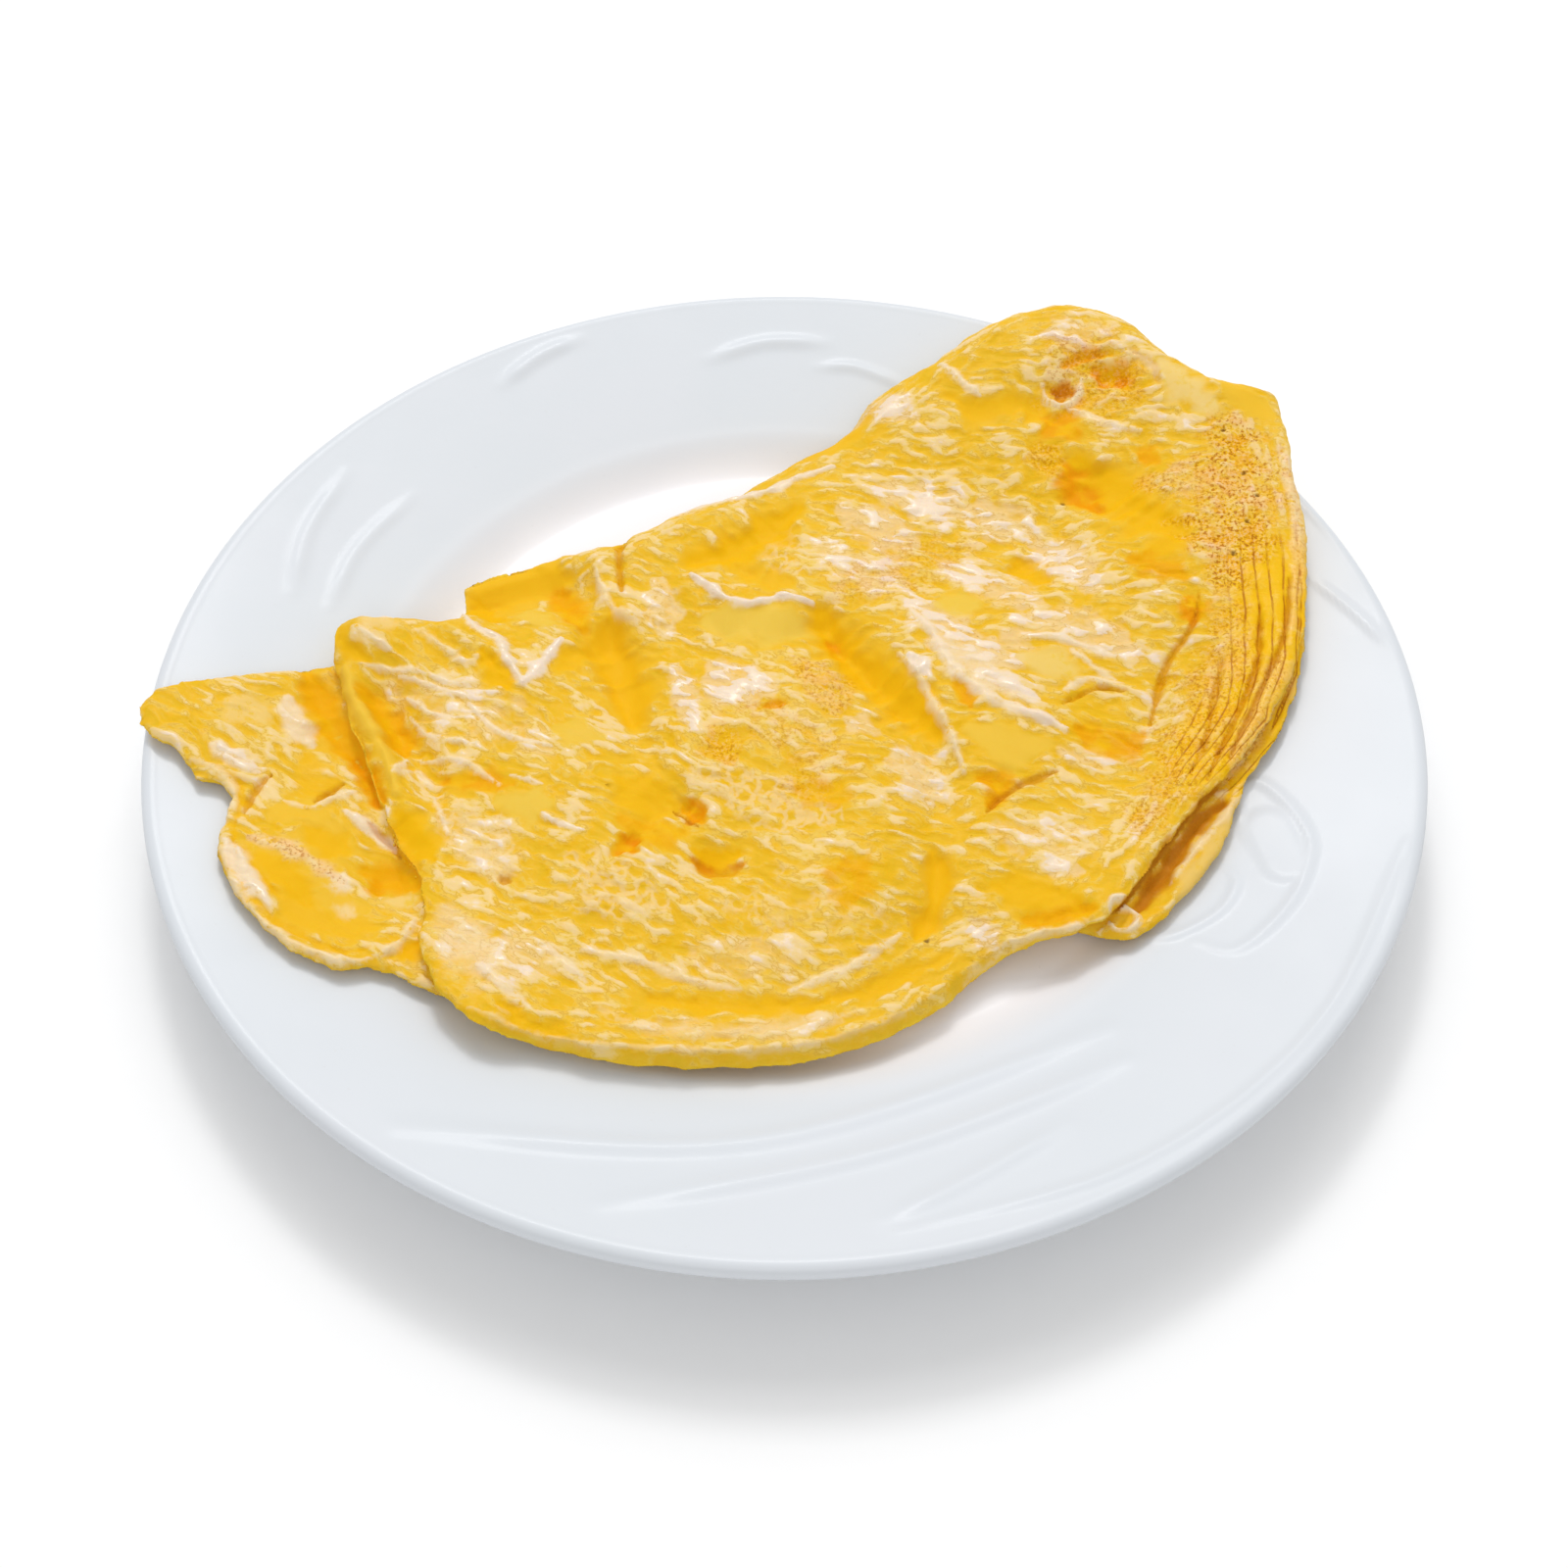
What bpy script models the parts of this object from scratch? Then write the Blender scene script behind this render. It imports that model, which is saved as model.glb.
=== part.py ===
"""A folded omelette on its dinner plate, in metres, +Z up.

The plate is one turned porcelain solid. The omelette is one egg sheet folded over on itself: a thick
upper flap whose back edge is the fold, and a lower leaf that shows past it at the left, as a tongue and a
lobe, and at the right. Both lie draped over the plate's own shape. The origin is under the plate's centre.
"""
import math

import bmesh
import bpy
import numpy as np

MM = 0.001  # every size below is in millimetres

# Plate, turned about Z.
PLATE_RADIUS = 130.0
RIM_HEIGHT = 21.0
EDGE_RADIUS = 1.9  # half the thickness of the rounded edge
WELL_RADIUS = 78.0
WELL_FLOOR = 8.0
SHOULDER_RADIUS = 90.0
SHOULDER_HEIGHT = 12.4
WALL = 4.4
UNDER_FLOOR = 3.0
FOOT_INNER = 68.0
FOOT_OUTER = 72.5
FOOT_FLARE = (0.8, 0.4)  # how far the foot's root stands out from it, and below the plate's underside
FOOT_TAPER = 1.5
PLATE_STEPS = 72
SHOULDER_STEPS = 6
EDGE_STEPS = 6
EDGE_TURN = (100, -80)  # degrees, from the upper face over the edge to the underside
RIM_SLOPE = (RIM_HEIGHT - SHOULDER_HEIGHT) / (PLATE_RADIUS - EDGE_RADIUS - SHOULDER_RADIUS)

# How the egg lies on the plate.
GAP = 0.3
BRIDGE_START = 66.0  # the soft sheet leaves the well's floor here
BRIDGE_END = 88.0  # and lies on the rim from here
OVERHANG_DROOP = 0.012  # fall past the rim, per square millimetre

# Thicknesses of the folded sheet, above the plate.
LEAF = 3.5  # one leaf of egg
SLOT = 0.9  # the open gap between the two lips
LIP = 3.5
LIP_LEAST = 2.5  # however deep a fold sinks, this much egg is left under it
MIDDLE = 11.4  # both leaves and what is trapped between them
LIP_ROUND = 3.0
LIP_DEPTH = 42.0  # from a lip to the full thickness
FOLD_ROUND = 9.0
FOLD_BELLY = 4.6  # height at which the fold stands out furthest
SLOT_START = 7.0
SLOT_END = 15.0
ROOT_LIFT = 1.3  # keeps what is hidden of the leaf inside the flap
HANGING = (-56, 50)  # between these x the flap's front lip hangs down to the plate and hides the leaf
HANGING_FRONT = -44  # and in front of this y
HANGING_RUN = 13.0
HANGING_TOP = 2.6  # how much thicker the lip is there

# Plan outline of the upper flap: four edges that meet at its corners.
FOLD_EDGE = [
    (-95, 11), (-93, 21), (-80, 24), (-69, 26.5), (-69.5, 35), (-54, 43.5), (-37, 49.5), (-24, 58.5),
    (-13, 63), (0, 74), (14, 82.5), (20, 91.5), (36, 102.5), (48, 111), (66, 115.5),
]
TOP_EDGE = [(112, 86.5), (99, 89), (89, 97), (80, 110), (66, 115.5)]
LIP_EDGE = [
    (-68.5, -53), (-67.5, -65), (-58, -79), (-43, -83), (-25, -86), (-5, -85), (13, -81), (29, -71.5),
    (35.5, -65), (44, -59.5), (59, -56), (72, -41), (81, -28), (90, -19), (99, -6), (106, 7),
    (110.5, 25), (112.5, 46), (112, 66), (112, 86.5),
]
LEFT_EDGE = [(-68.5, -53), (-70, -44), (-77, -33), (-83, -18.5), (-89, -4.5), (-94, 11)]

# Plan outline of the lower leaf's free edge, and its root under the flap by the number of the edge point.
LEAF_EDGE = [
    (-83, 14), (-95, 12), (-103, 9), (-117, 4.5), (-127.5, 0), (-131.4, -6.5), (-128, -13.5),
    (-120.5, -17), (-118.5, -23), (-110, -25), (-110.5, -36), (-109, -45), (-97, -60.5), (-84, -67.5),
    (-76, -66), (-66, -71), (-55, -72), (-40, -70), (-22, -71), (-4, -70), (12, -67), (26, -58), (40, -49),
    (54, -52), (64, -57.5), (70, -55.5), (82, -42.5), (87.5, -34), (91.5, -24), (94, -18.5), (100, -10.5),
    (107, 5), (111, 24), (112, 44), (108, 60),
]
LEAF_ROOT = {
    0: (-74, 9), 5: (-73, -4), 9: (-70, -15), 12: (-58, -34), 15: (-46, -47), 18: (-20, -56),
    21: (18, -45), 24: (44, -34), 26: (58, -24), 29: (72, -6), 32: (86, 22), 34: (87, 60),
}

# Main folds of the flap's upper side: a path in plan, a half width and a height, negative where it sinks.
FOLDS = {
    "left valley": ([(-37, 18), (-34, 4), (-29, -14)], 5.0, -2.6),
    "middle valley": ([(7, 22), (15, 11), (22, -1), (30, -14), (32, -26)], 6.0, -3.2),
    "front valley": ([(30, -33), (26, -54)], 5.0, -1.8),
    "middle ridge": ([(21, 16), (28, 4), (34, -12)], 4.5, 1.2),
    "glossy ridge": ([(30, 21), (41, 4), (55, -8)], 5.5, 1.4),
    "back pocket": ([(-63, 29), (-53, 32), (-44, 33)], 7.0, -4.6),
    "pocket ridge": ([(-70, 20), (-63, 13), (-56, 2)], 4.0, 2.0),
    "pocket side": ([(-41, 40), (-38, 30), (-32, 23)], 3.5, 1.6),
    "corner ridge": ([(-89, 17), (-77, 8)], 4.0, 1.6),
    "left roll": ([(-88, 3), (-82, -14), (-76, -29), (-71, -40)], 3.6, 2.0),
    "left recess": ([(-84, 3), (-77, -10), (-70, -22)], 4.0, -3.4),
    "smooth hollow": ([(-18, 17), (-2, 15)], 8.0, -1.5),
    "hollow ridge": ([(-20, 33), (-12, 27), (4, 26)], 3.5, 1.7),
    "orange pit": ([(-26, -26), (-17, -31)], 4.0, -2.6),
    "crescent pit": ([(-15, -42), (-8, -42)], 4.0, -2.6),
    "right dip": ([(58, 46), (70, 60), (80, 72)], 12.0, -3.2),
    "crater": ([(61, 85), (65, 86)], 6.5, -2.4),
    "crater lip": ([(56, 95), (64, 99), (71, 97)], 6.0, 0.9),
    "end dent": ([(73, 89), (78, 90)], 5.5, -1.6),
    "shoulder crack": ([(84, 16), (77, -2), (72, -12)], 3.0, -1.6),
}
FOLD_FADE = 7.0  # folds die out this far from an edge

# Slow swells of the egg: radians per millimetre in x and in y, phase and height.
FLAP_SWELLS = [(0.071, 0.031, 0.4, 0.55), (-0.043, 0.088, 1.9, 0.5), (0.12, -0.067, 3.1, 0.35)]
LEAF_SWELLS = [(0.16, -0.11, 0.0, 0.7)]

# Mesh. The numbers along and across are even, since the undersides take every second point.
FLAP_ALONG = 64
FLAP_ACROSS = 30
FLAP_CROWDING = (0.45, 0.62)  # how much closer the rows are near the edges, along and across
LEAF_ALONG = 88
LEAF_ACROSS = 6
LEAF_CROWDING = 1.7
CURVE_STEPS = 10
WELD = 0.001
TINY = 1e-9  # keeps a division by a length from failing at 0
SHARP_ANGLE = 40  # degrees

PORCELAIN = ("glazed porcelain", (0.83, 0.85, 0.87), 0.12)  # name, colour, roughness
EGG = ("cooked egg", (0.86, 0.53, 0.06), 0.35)


def ease(t):
    """0 to 1 with level ends."""
    t = np.clip(t, 0, 1)
    return t * t * (3 - 2 * t)


def rounding(t):
    """A quarter circle's rise, from 0 at an edge to 1 inside it."""
    return np.sqrt(np.clip(1 - (1 - np.clip(t, 0, 1)) ** 2, 0, 1))


def rise(r, start, end):
    """Height of a curve that leaves the well's floor level at start and joins the rim's cone at end."""
    t = np.clip((r - start) / (end - start), 0, 1)
    cone_at_end = SHOULDER_HEIGHT + RIM_SLOPE * (end - SHOULDER_RADIUS)
    climb = (cone_at_end - WELL_FLOOR) * t * t * (3 - 2 * t)
    return WELL_FLOOR + climb + RIM_SLOPE * (end - start) * (t**3 - t**2)


def plate_top(r):
    """Height of the plate's upper face at a distance from its centre."""
    cone = SHOULDER_HEIGHT + RIM_SLOPE * (r - SHOULDER_RADIUS)
    return np.where(r < SHOULDER_RADIUS, rise(r, WELL_RADIUS, SHOULDER_RADIUS), cone)


def bed(x, y):
    """Height of the egg's underside where it lies on the plate, or hangs past the rim."""
    r = np.hypot(x, y)
    cone = SHOULDER_HEIGHT + RIM_SLOPE * (np.minimum(r, PLATE_RADIUS) - SHOULDER_RADIUS)
    droop = OVERHANG_DROOP * np.maximum(r - PLATE_RADIUS, 0) ** 2
    return GAP + np.where(r < BRIDGE_END, rise(r, BRIDGE_START, BRIDGE_END), cone) - droop


def curve_through(points):
    """A Catmull-Rom curve through plan points, closely sampled."""
    p = np.array(points, float)
    p = np.vstack([2 * p[0] - p[1], p, 2 * p[-1] - p[-2]])
    t = np.linspace(0, 1, CURVE_STEPS, endpoint=False)[:, None]
    runs = []
    for a, b, c, d in zip(p, p[1:], p[2:], p[3:]):
        runs.append(b + 0.5 * t * (c - a + t * (2 * a - 5 * b + 4 * c - d + t * (3 * (b - c) + d - a))))
    return np.vstack(runs + [p[-2:-1]])


def along(curve, fractions):
    """Points at fractions of the curve's length."""
    lengths = np.r_[0, np.cumsum(np.linalg.norm(np.diff(curve, axis=0), axis=1))]
    at = np.asarray(fractions) * lengths[-1]
    return np.column_stack([np.interp(at, lengths, curve[:, 0]), np.interp(at, lengths, curve[:, 1])])


def crowded(count, share):
    """0 to 1 in count steps that are shorter near both ends."""
    t = np.linspace(0, 1, count + 1)
    return t - share * np.sin(2 * math.pi * t) / (2 * math.pi)


def hanging(plan):
    """1 where the front lip hangs down to the plate, 0 where it lies on the leaf."""
    x, y = plan[..., 0], plan[..., 1]
    between = ease((x - HANGING[0]) / HANGING_RUN) * ease((HANGING[1] - x) / HANGING_RUN)
    return between * ease((HANGING_FRONT - y) / HANGING_RUN)


def distance_to(points, path):
    """Distance in plan from each point to a path's nearest segment."""
    path = np.asarray(path, float)
    best = np.full(points.shape[:-1], np.inf)
    for a, b in zip(path, path[1:]):
        t = np.clip((points - a) @ (b - a) / max((b - a) @ (b - a), TINY), 0, 1)
        best = np.minimum(best, np.linalg.norm(points - a - t[..., None] * (b - a), axis=-1))
    return best


def mesh_object(name, bm, material):
    """Turns a bmesh in millimetres into a smooth object in metres."""
    bmesh.ops.scale(bm, vec=(MM, MM, MM), verts=bm.verts)
    bmesh.ops.recalc_face_normals(bm, faces=bm.faces)
    mesh = bpy.data.meshes.new(name)
    bm.to_mesh(mesh)
    bm.free()
    mesh.materials.append(material)
    mesh.shade_smooth()
    mesh.set_sharp_from_angle(angle=math.radians(SHARP_ANGLE))
    obj = bpy.data.objects.new(name, mesh)
    bpy.context.scene.collection.objects.link(obj)
    return obj


def finish(name, colour, roughness):
    """A material that isn't metal."""
    material = bpy.data.materials.new(name)
    material.use_nodes = True
    shader = material.node_tree.nodes["Principled BSDF"]
    shader.inputs["Base Color"].default_value = (*colour, 1)
    shader.inputs["Roughness"].default_value = roughness
    shader.inputs["Metallic"].default_value = 0.0
    material.diffuse_color = (*colour, 1)
    return material


def plate_profile():
    """Half section of the plate, from the middle of its well out over the rim and back to the middle."""
    climb = np.linspace(WELL_RADIUS, SHOULDER_RADIUS, SHOULDER_STEPS)
    section = [(0, WELL_FLOOR)] + [(r, float(plate_top(r))) for r in climb]
    edge_centre = (PLATE_RADIUS - EDGE_RADIUS, RIM_HEIGHT - EDGE_RADIUS)
    for turn in np.radians(np.linspace(*EDGE_TURN, EDGE_STEPS)):
        section.append((edge_centre[0] + EDGE_RADIUS * math.cos(turn),
                        edge_centre[1] + EDGE_RADIUS * math.sin(turn)))
    under_shoulder = SHOULDER_RADIUS + WALL / 2
    section.append((under_shoulder, SHOULDER_HEIGHT - WALL + RIM_SLOPE))
    section.append(((WELL_RADIUS + SHOULDER_RADIUS) / 2, (WELL_FLOOR + SHOULDER_HEIGHT) / 2 - WALL))
    section.append((WELL_RADIUS - 1, UNDER_FLOOR))
    section.append((FOOT_OUTER + FOOT_FLARE[0], UNDER_FLOOR - FOOT_FLARE[1]))
    section += [(FOOT_OUTER, 0), (FOOT_INNER, 0), (FOOT_INNER - FOOT_TAPER, UNDER_FLOOR), (0, UNDER_FLOOR)]
    return section


def make_plate():
    """The plate, its section turned once round."""
    bm = bmesh.new()
    ring = [bm.verts.new((r, 0, z)) for r, z in plate_profile()]
    edges = [bm.edges.new(pair) for pair in zip(ring, ring[1:])]
    bmesh.ops.spin(bm, geom=ring + edges, axis=(0, 0, 1), cent=(0, 0, 0),
                   angle=2 * math.pi, steps=PLATE_STEPS)
    bmesh.ops.remove_doubles(bm, verts=bm.verts, dist=WELD)
    return mesh_object("plate", bm, finish(*PORCELAIN))


def closed_sheet(top, bottom):
    """A closed shell from a grid of upper points and a grid of lower ones that share their border.

    The lower side takes every second point each way, and its border cells take in the points between.
    """
    bm = bmesh.new()
    rows, columns = top.shape[:2]
    upper = [[bm.verts.new(top[i, j]) for j in range(columns)] for i in range(rows)]
    lower = {}
    for i in range(0, rows, 2):
        for j in range(0, columns, 2):
            border = i in (0, rows - 1) or j in (0, columns - 1)
            lower[i, j] = upper[i][j] if border else bm.verts.new(bottom[i, j])
    for i in range(rows - 1):
        for j in range(columns - 1):
            bm.faces.new((upper[i][j], upper[i + 1][j], upper[i + 1][j + 1], upper[i][j + 1]))
    for i in range(0, rows - 1, 2):
        for j in range(0, columns - 1, 2):
            cell = [lower[i, j]]
            if i == 0:
                cell.append(upper[i][j + 1])
            cell.append(lower[i, j + 2])
            if j + 2 == columns - 1:
                cell.append(upper[i + 1][j + 2])
            cell.append(lower[i + 2, j + 2])
            if i + 2 == rows - 1:
                cell.append(upper[i + 2][j + 1])
            cell.append(lower[i + 2, j])
            if j == 0:
                cell.append(upper[i + 1][j])
            bm.faces.new(cell)
    bmesh.ops.poke(bm, faces=[face for face in bm.faces if len(face.verts) > 4])
    return bm


def flap_plan():
    """Plan positions of the flap's points: a sheet stretched between its four edges."""
    u = crowded(FLAP_ALONG, FLAP_CROWDING[0])
    v = crowded(FLAP_ACROSS, FLAP_CROWDING[1])
    lip, fold = along(curve_through(LIP_EDGE), u), along(curve_through(FOLD_EDGE), u)
    left, top = along(curve_through(LEFT_EDGE), v), along(curve_through(TOP_EDGE), v)
    u, v = u[:, None, None], v[None, :, None]
    ruled = (1 - v) * lip[:, None] + v * fold[:, None] + (1 - u) * left[None] + u * top[None]
    corners = (1 - u) * ((1 - v) * lip[0] + v * fold[0]) + u * ((1 - v) * lip[-1] + v * fold[-1])
    return ruled - corners


def swell(plan, swells):
    """Height of the slow swells at plan points."""
    return sum(height * np.sin(kx * plan[..., 0] + ky * plan[..., 1] + phase)
               for kx, ky, phase, height in swells)


def fold_relief(plan):
    """Height that the main folds and the swells give the flap's upper side."""
    relief = swell(plan, FLAP_SWELLS)
    for path, half_width, height in FOLDS.values():
        relief += height * np.exp(-(distance_to(plan, path) / half_width) ** 2)
    return relief


def make_flap(material):
    """The upper flap with the body of the fold under it."""
    plan = flap_plan()
    to_lip = np.minimum(*(distance_to(plan, curve_through(edge)) for edge in (LEFT_EDGE, LIP_EDGE)))
    to_fold = np.minimum(*(distance_to(plan, curve_through(edge)) for edge in (FOLD_EDGE, TOP_EDGE)))
    near_lip = to_fold**2 / (to_fold**2 + to_lip**2 + TINY)
    inside = np.minimum(to_lip, to_fold)

    lift = (LEAF + SLOT) * (1 - hanging(plan))
    slot = lift * near_lip * (1 - ease((to_lip - SLOT_START) / (SLOT_END - SLOT_START)))
    lip_top = LIP + lift + HANGING_TOP * hanging(plan)
    at_lip = lip_top + (MIDDLE - lip_top) * ease(to_lip / LIP_DEPTH)
    full = near_lip * at_lip + (1 - near_lip) * MIDDLE
    belly = near_lip * (lift + LIP / 2) + (1 - near_lip) * FOLD_BELLY
    top_round = near_lip * LIP_ROUND + (1 - near_lip) * FOLD_ROUND
    relief = fold_relief(plan) * ease(inside / FOLD_FADE)
    height = belly + (full - belly) * rounding(inside / top_round) + relief
    base = belly + (slot - belly) * rounding(inside / LIP_ROUND)
    height = np.maximum(height, base + LIP_LEAST * rounding(inside / LIP_ROUND))

    ground = bed(plan[..., 0], plan[..., 1])
    top = np.dstack([plan, ground + height])
    bottom = np.dstack([plan, ground + base])
    return mesh_object("omelette", closed_sheet(top, bottom), material)


def make_leaf(material):
    """The lower leaf, a strip from its free edge to its root inside the flap."""
    edge = curve_through(LEAF_EDGE)
    station = np.linspace(0, len(LEAF_EDGE) - 1, len(edge))
    known = sorted(LEAF_ROOT)
    root = np.column_stack([np.interp(station, known, [LEAF_ROOT[k][axis] for k in known])
                            for axis in (0, 1)])
    lengths = np.r_[0, np.cumsum(np.linalg.norm(np.diff(edge, axis=0), axis=1))]
    pick = np.interp(np.linspace(0, lengths[-1], LEAF_ALONG + 1), lengths, np.arange(len(edge)))
    whole = np.arange(len(edge))
    free = np.column_stack([np.interp(pick, whole, edge[:, axis]) for axis in (0, 1)])
    held = np.column_stack([np.interp(pick, whole, root[:, axis]) for axis in (0, 1)])
    v = (np.linspace(0, 1, LEAF_ACROSS + 1) ** LEAF_CROWDING)[None, :, None]
    plan = (1 - v) * free[:, None] + v * held[:, None]

    inside = distance_to(plan, edge)
    hidden = np.maximum(v[..., 0] ** 2, hanging(plan))
    ground = bed(plan[..., 0], plan[..., 1]) + ROOT_LIFT * hidden
    wave = swell(plan, LEAF_SWELLS) * ease(inside / FOLD_FADE) * (1 - hidden)
    top = np.dstack([plan, ground + LEAF / 2 + LEAF / 2 * rounding(inside / LIP_ROUND) + wave])
    bottom = np.dstack([plan, ground + LEAF / 2 - LEAF / 2 * rounding(inside / LIP_ROUND)])
    leaf = mesh_object("lower leaf", closed_sheet(top, bottom), material)
    leaf.hide_render = True
    leaf.display_type = "WIRE"
    return leaf


def make_omelette():
    """The flap and the leaf as the one piece of egg that they are."""
    egg = finish(*EGG)
    omelette = make_flap(egg)
    join = omelette.modifiers.new("join the lower leaf", "BOOLEAN")
    join.operation = "UNION"
    join.solver = "EXACT"
    join.object = make_leaf(egg)
    return omelette


for thing in list(bpy.data.objects):
    bpy.data.objects.remove(thing, do_unlink=True)
make_plate()
make_omelette()
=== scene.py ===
import math

import bpy
import numpy as np
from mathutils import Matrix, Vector
from mathutils.bvhtree import BVHTree
from mathutils.kdtree import KDTree


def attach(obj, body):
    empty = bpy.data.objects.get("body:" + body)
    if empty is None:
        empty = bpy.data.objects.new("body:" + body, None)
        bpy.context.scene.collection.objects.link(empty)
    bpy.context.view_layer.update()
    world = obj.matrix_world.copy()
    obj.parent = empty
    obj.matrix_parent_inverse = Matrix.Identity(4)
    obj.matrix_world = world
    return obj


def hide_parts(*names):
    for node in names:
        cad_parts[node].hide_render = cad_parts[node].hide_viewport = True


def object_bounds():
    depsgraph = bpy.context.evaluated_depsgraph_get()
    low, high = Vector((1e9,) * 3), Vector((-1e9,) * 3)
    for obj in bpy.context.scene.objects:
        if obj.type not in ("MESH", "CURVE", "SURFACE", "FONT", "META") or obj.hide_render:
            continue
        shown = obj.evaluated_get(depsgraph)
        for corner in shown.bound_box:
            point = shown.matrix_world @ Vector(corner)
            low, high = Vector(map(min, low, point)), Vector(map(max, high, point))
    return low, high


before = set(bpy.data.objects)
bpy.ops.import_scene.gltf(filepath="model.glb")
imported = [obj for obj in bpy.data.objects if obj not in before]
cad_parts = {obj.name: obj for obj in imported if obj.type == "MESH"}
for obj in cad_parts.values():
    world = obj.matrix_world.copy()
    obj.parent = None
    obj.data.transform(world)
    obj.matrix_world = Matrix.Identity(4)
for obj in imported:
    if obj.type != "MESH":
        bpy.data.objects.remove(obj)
cad_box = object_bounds()
MM = 0.001  # places and sizes below are in millimetres, on the CAD's axes


# ---------------------------------------------------------------------------------------------------------
# Plate. One turned piece of clear-glazed white porcelain with a flat well, a short shoulder and a wide rim
# that leans up to a rounded edge. Low sweeping ridges and a looped leaf are pressed into the rim. It
# stands on a foot ring.

PLATE_RADIUS = 130.0
RIM_HEIGHT = 21.0
EDGE_RADIUS = 1.9
WELL_RADIUS = 78.0
WELL_FLOOR = 8.0
SHOULDER_RADIUS = 90.0
SHOULDER_HEIGHT = 12.4
WALL = 4.4
UNDER_FLOOR = 3.0
FOOT_INNER = 68.0
FOOT_OUTER = 72.5
PLATE_STEPS = 720  # round the plate
SHOULDER_ROWS = 14  # from the well to the shoulder
RIM_ROWS = 46  # from the shoulder to the edge
EDGE_ROWS = 12  # over the rounded edge
RIM_SLOPE = (RIM_HEIGHT - SHOULDER_HEIGHT) / (PLATE_RADIUS - EDGE_RADIUS - SHOULDER_RADIUS)


def ease(t):
    """0 to 1 with level ends."""
    t = np.clip(t, 0, 1)
    return t * t * (3 - 2 * t)


def plate_top(r):
    """Height of the plate's upper side at a distance from its middle."""
    run = SHOULDER_RADIUS - WELL_RADIUS
    t = np.clip((r - WELL_RADIUS) / run, 0, 1)
    climb = (SHOULDER_HEIGHT - WELL_FLOOR) * ease(t) + RIM_SLOPE * run * (t**3 - t**2)
    return WELL_FLOOR + climb + RIM_SLOPE * np.maximum(r - SHOULDER_RADIUS, 0)


def plate_rings():
    """Radius and height of the rings that the plate is drawn out through, from its well to under it."""
    turns = np.radians(np.linspace(100, -80, EDGE_ROWS))
    rim_end = PLATE_RADIUS - EDGE_RADIUS + EDGE_RADIUS * math.cos(turns[0])
    reaches = [15, 40, 60, 72, *np.linspace(WELL_RADIUS, SHOULDER_RADIUS, SHOULDER_ROWS),
               *np.linspace(SHOULDER_RADIUS, rim_end, RIM_ROWS)[1:-1]]
    rings = [(float(r), float(plate_top(r))) for r in reaches]
    for turn in turns:
        rings.append((PLATE_RADIUS - EDGE_RADIUS + EDGE_RADIUS * math.cos(turn),
                      RIM_HEIGHT - EDGE_RADIUS + EDGE_RADIUS * math.sin(turn)))
    rings.append((SHOULDER_RADIUS + WALL / 2, SHOULDER_HEIGHT - WALL + RIM_SLOPE))
    rings.append(((WELL_RADIUS + SHOULDER_RADIUS) / 2, (WELL_FLOOR + SHOULDER_HEIGHT) / 2 - WALL))
    rings += [(WELL_RADIUS - 1, UNDER_FLOOR), (FOOT_OUTER + 0.8, UNDER_FLOOR - 0.4)]
    rings += [(FOOT_OUTER + 0.2, 0.4), (FOOT_OUTER - 0.3, 0)]
    rings += [(FOOT_INNER + 0.3, 0), (FOOT_INNER - 0.2, 0.4)]
    return rings + [(FOOT_INNER - 1.5, UNDER_FLOOR), (40.0, UNDER_FLOOR), (15.0, UNDER_FLOOR)]


def distance_to(points, path):
    """Distance in plan from each point to the nearest part of a path, and how far along it that part is."""
    best = np.full(len(points), np.inf)
    station = np.zeros(len(points))
    walked = 0.0
    for a, b in zip(path, path[1:]):
        a, b = np.array(a, float), np.array(b, float)
        length = np.linalg.norm(b - a)
        t = np.clip((points - a) @ (b - a) / length**2, 0, 1)
        gap = np.linalg.norm(points - a - t[:, None] * (b - a), axis=1)
        nearer = gap < best
        best = np.where(nearer, gap, best)
        station = np.where(nearer, walked + t * length, station)
        walked += length
    return best, station


def smooth_path(points, steps=8):
    """A Catmull-Rom curve through plan points."""
    p = np.array(points, float)
    p = np.vstack([2 * p[0] - p[1], p, 2 * p[-1] - p[-2]])
    t = np.linspace(0, 1, steps, endpoint=False)[:, None]
    runs = []
    for a, b, c, d in zip(p, p[1:], p[2:], p[3:]):
        runs.append(b + 0.5 * t * (c - a + t * (2 * a - 5 * b + 4 * c - d + t * (3 * (b - c) + d - a))))
    return np.vstack(runs + [p[-2:-1]])


def vertices_of(piece):
    """A mesh's vertices in millimetres."""
    flat = np.empty(len(piece.data.vertices) * 3, np.float32)
    piece.data.vertices.foreach_get("co", flat)
    return flat.reshape(-1, 3).astype(float) / MM


def move_vertices(piece, places):
    """Puts a mesh's vertices at places in millimetres."""
    piece.data.vertices.foreach_set("co", (places * MM).astype(np.float32).ravel())
    piece.data.update()


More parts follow.
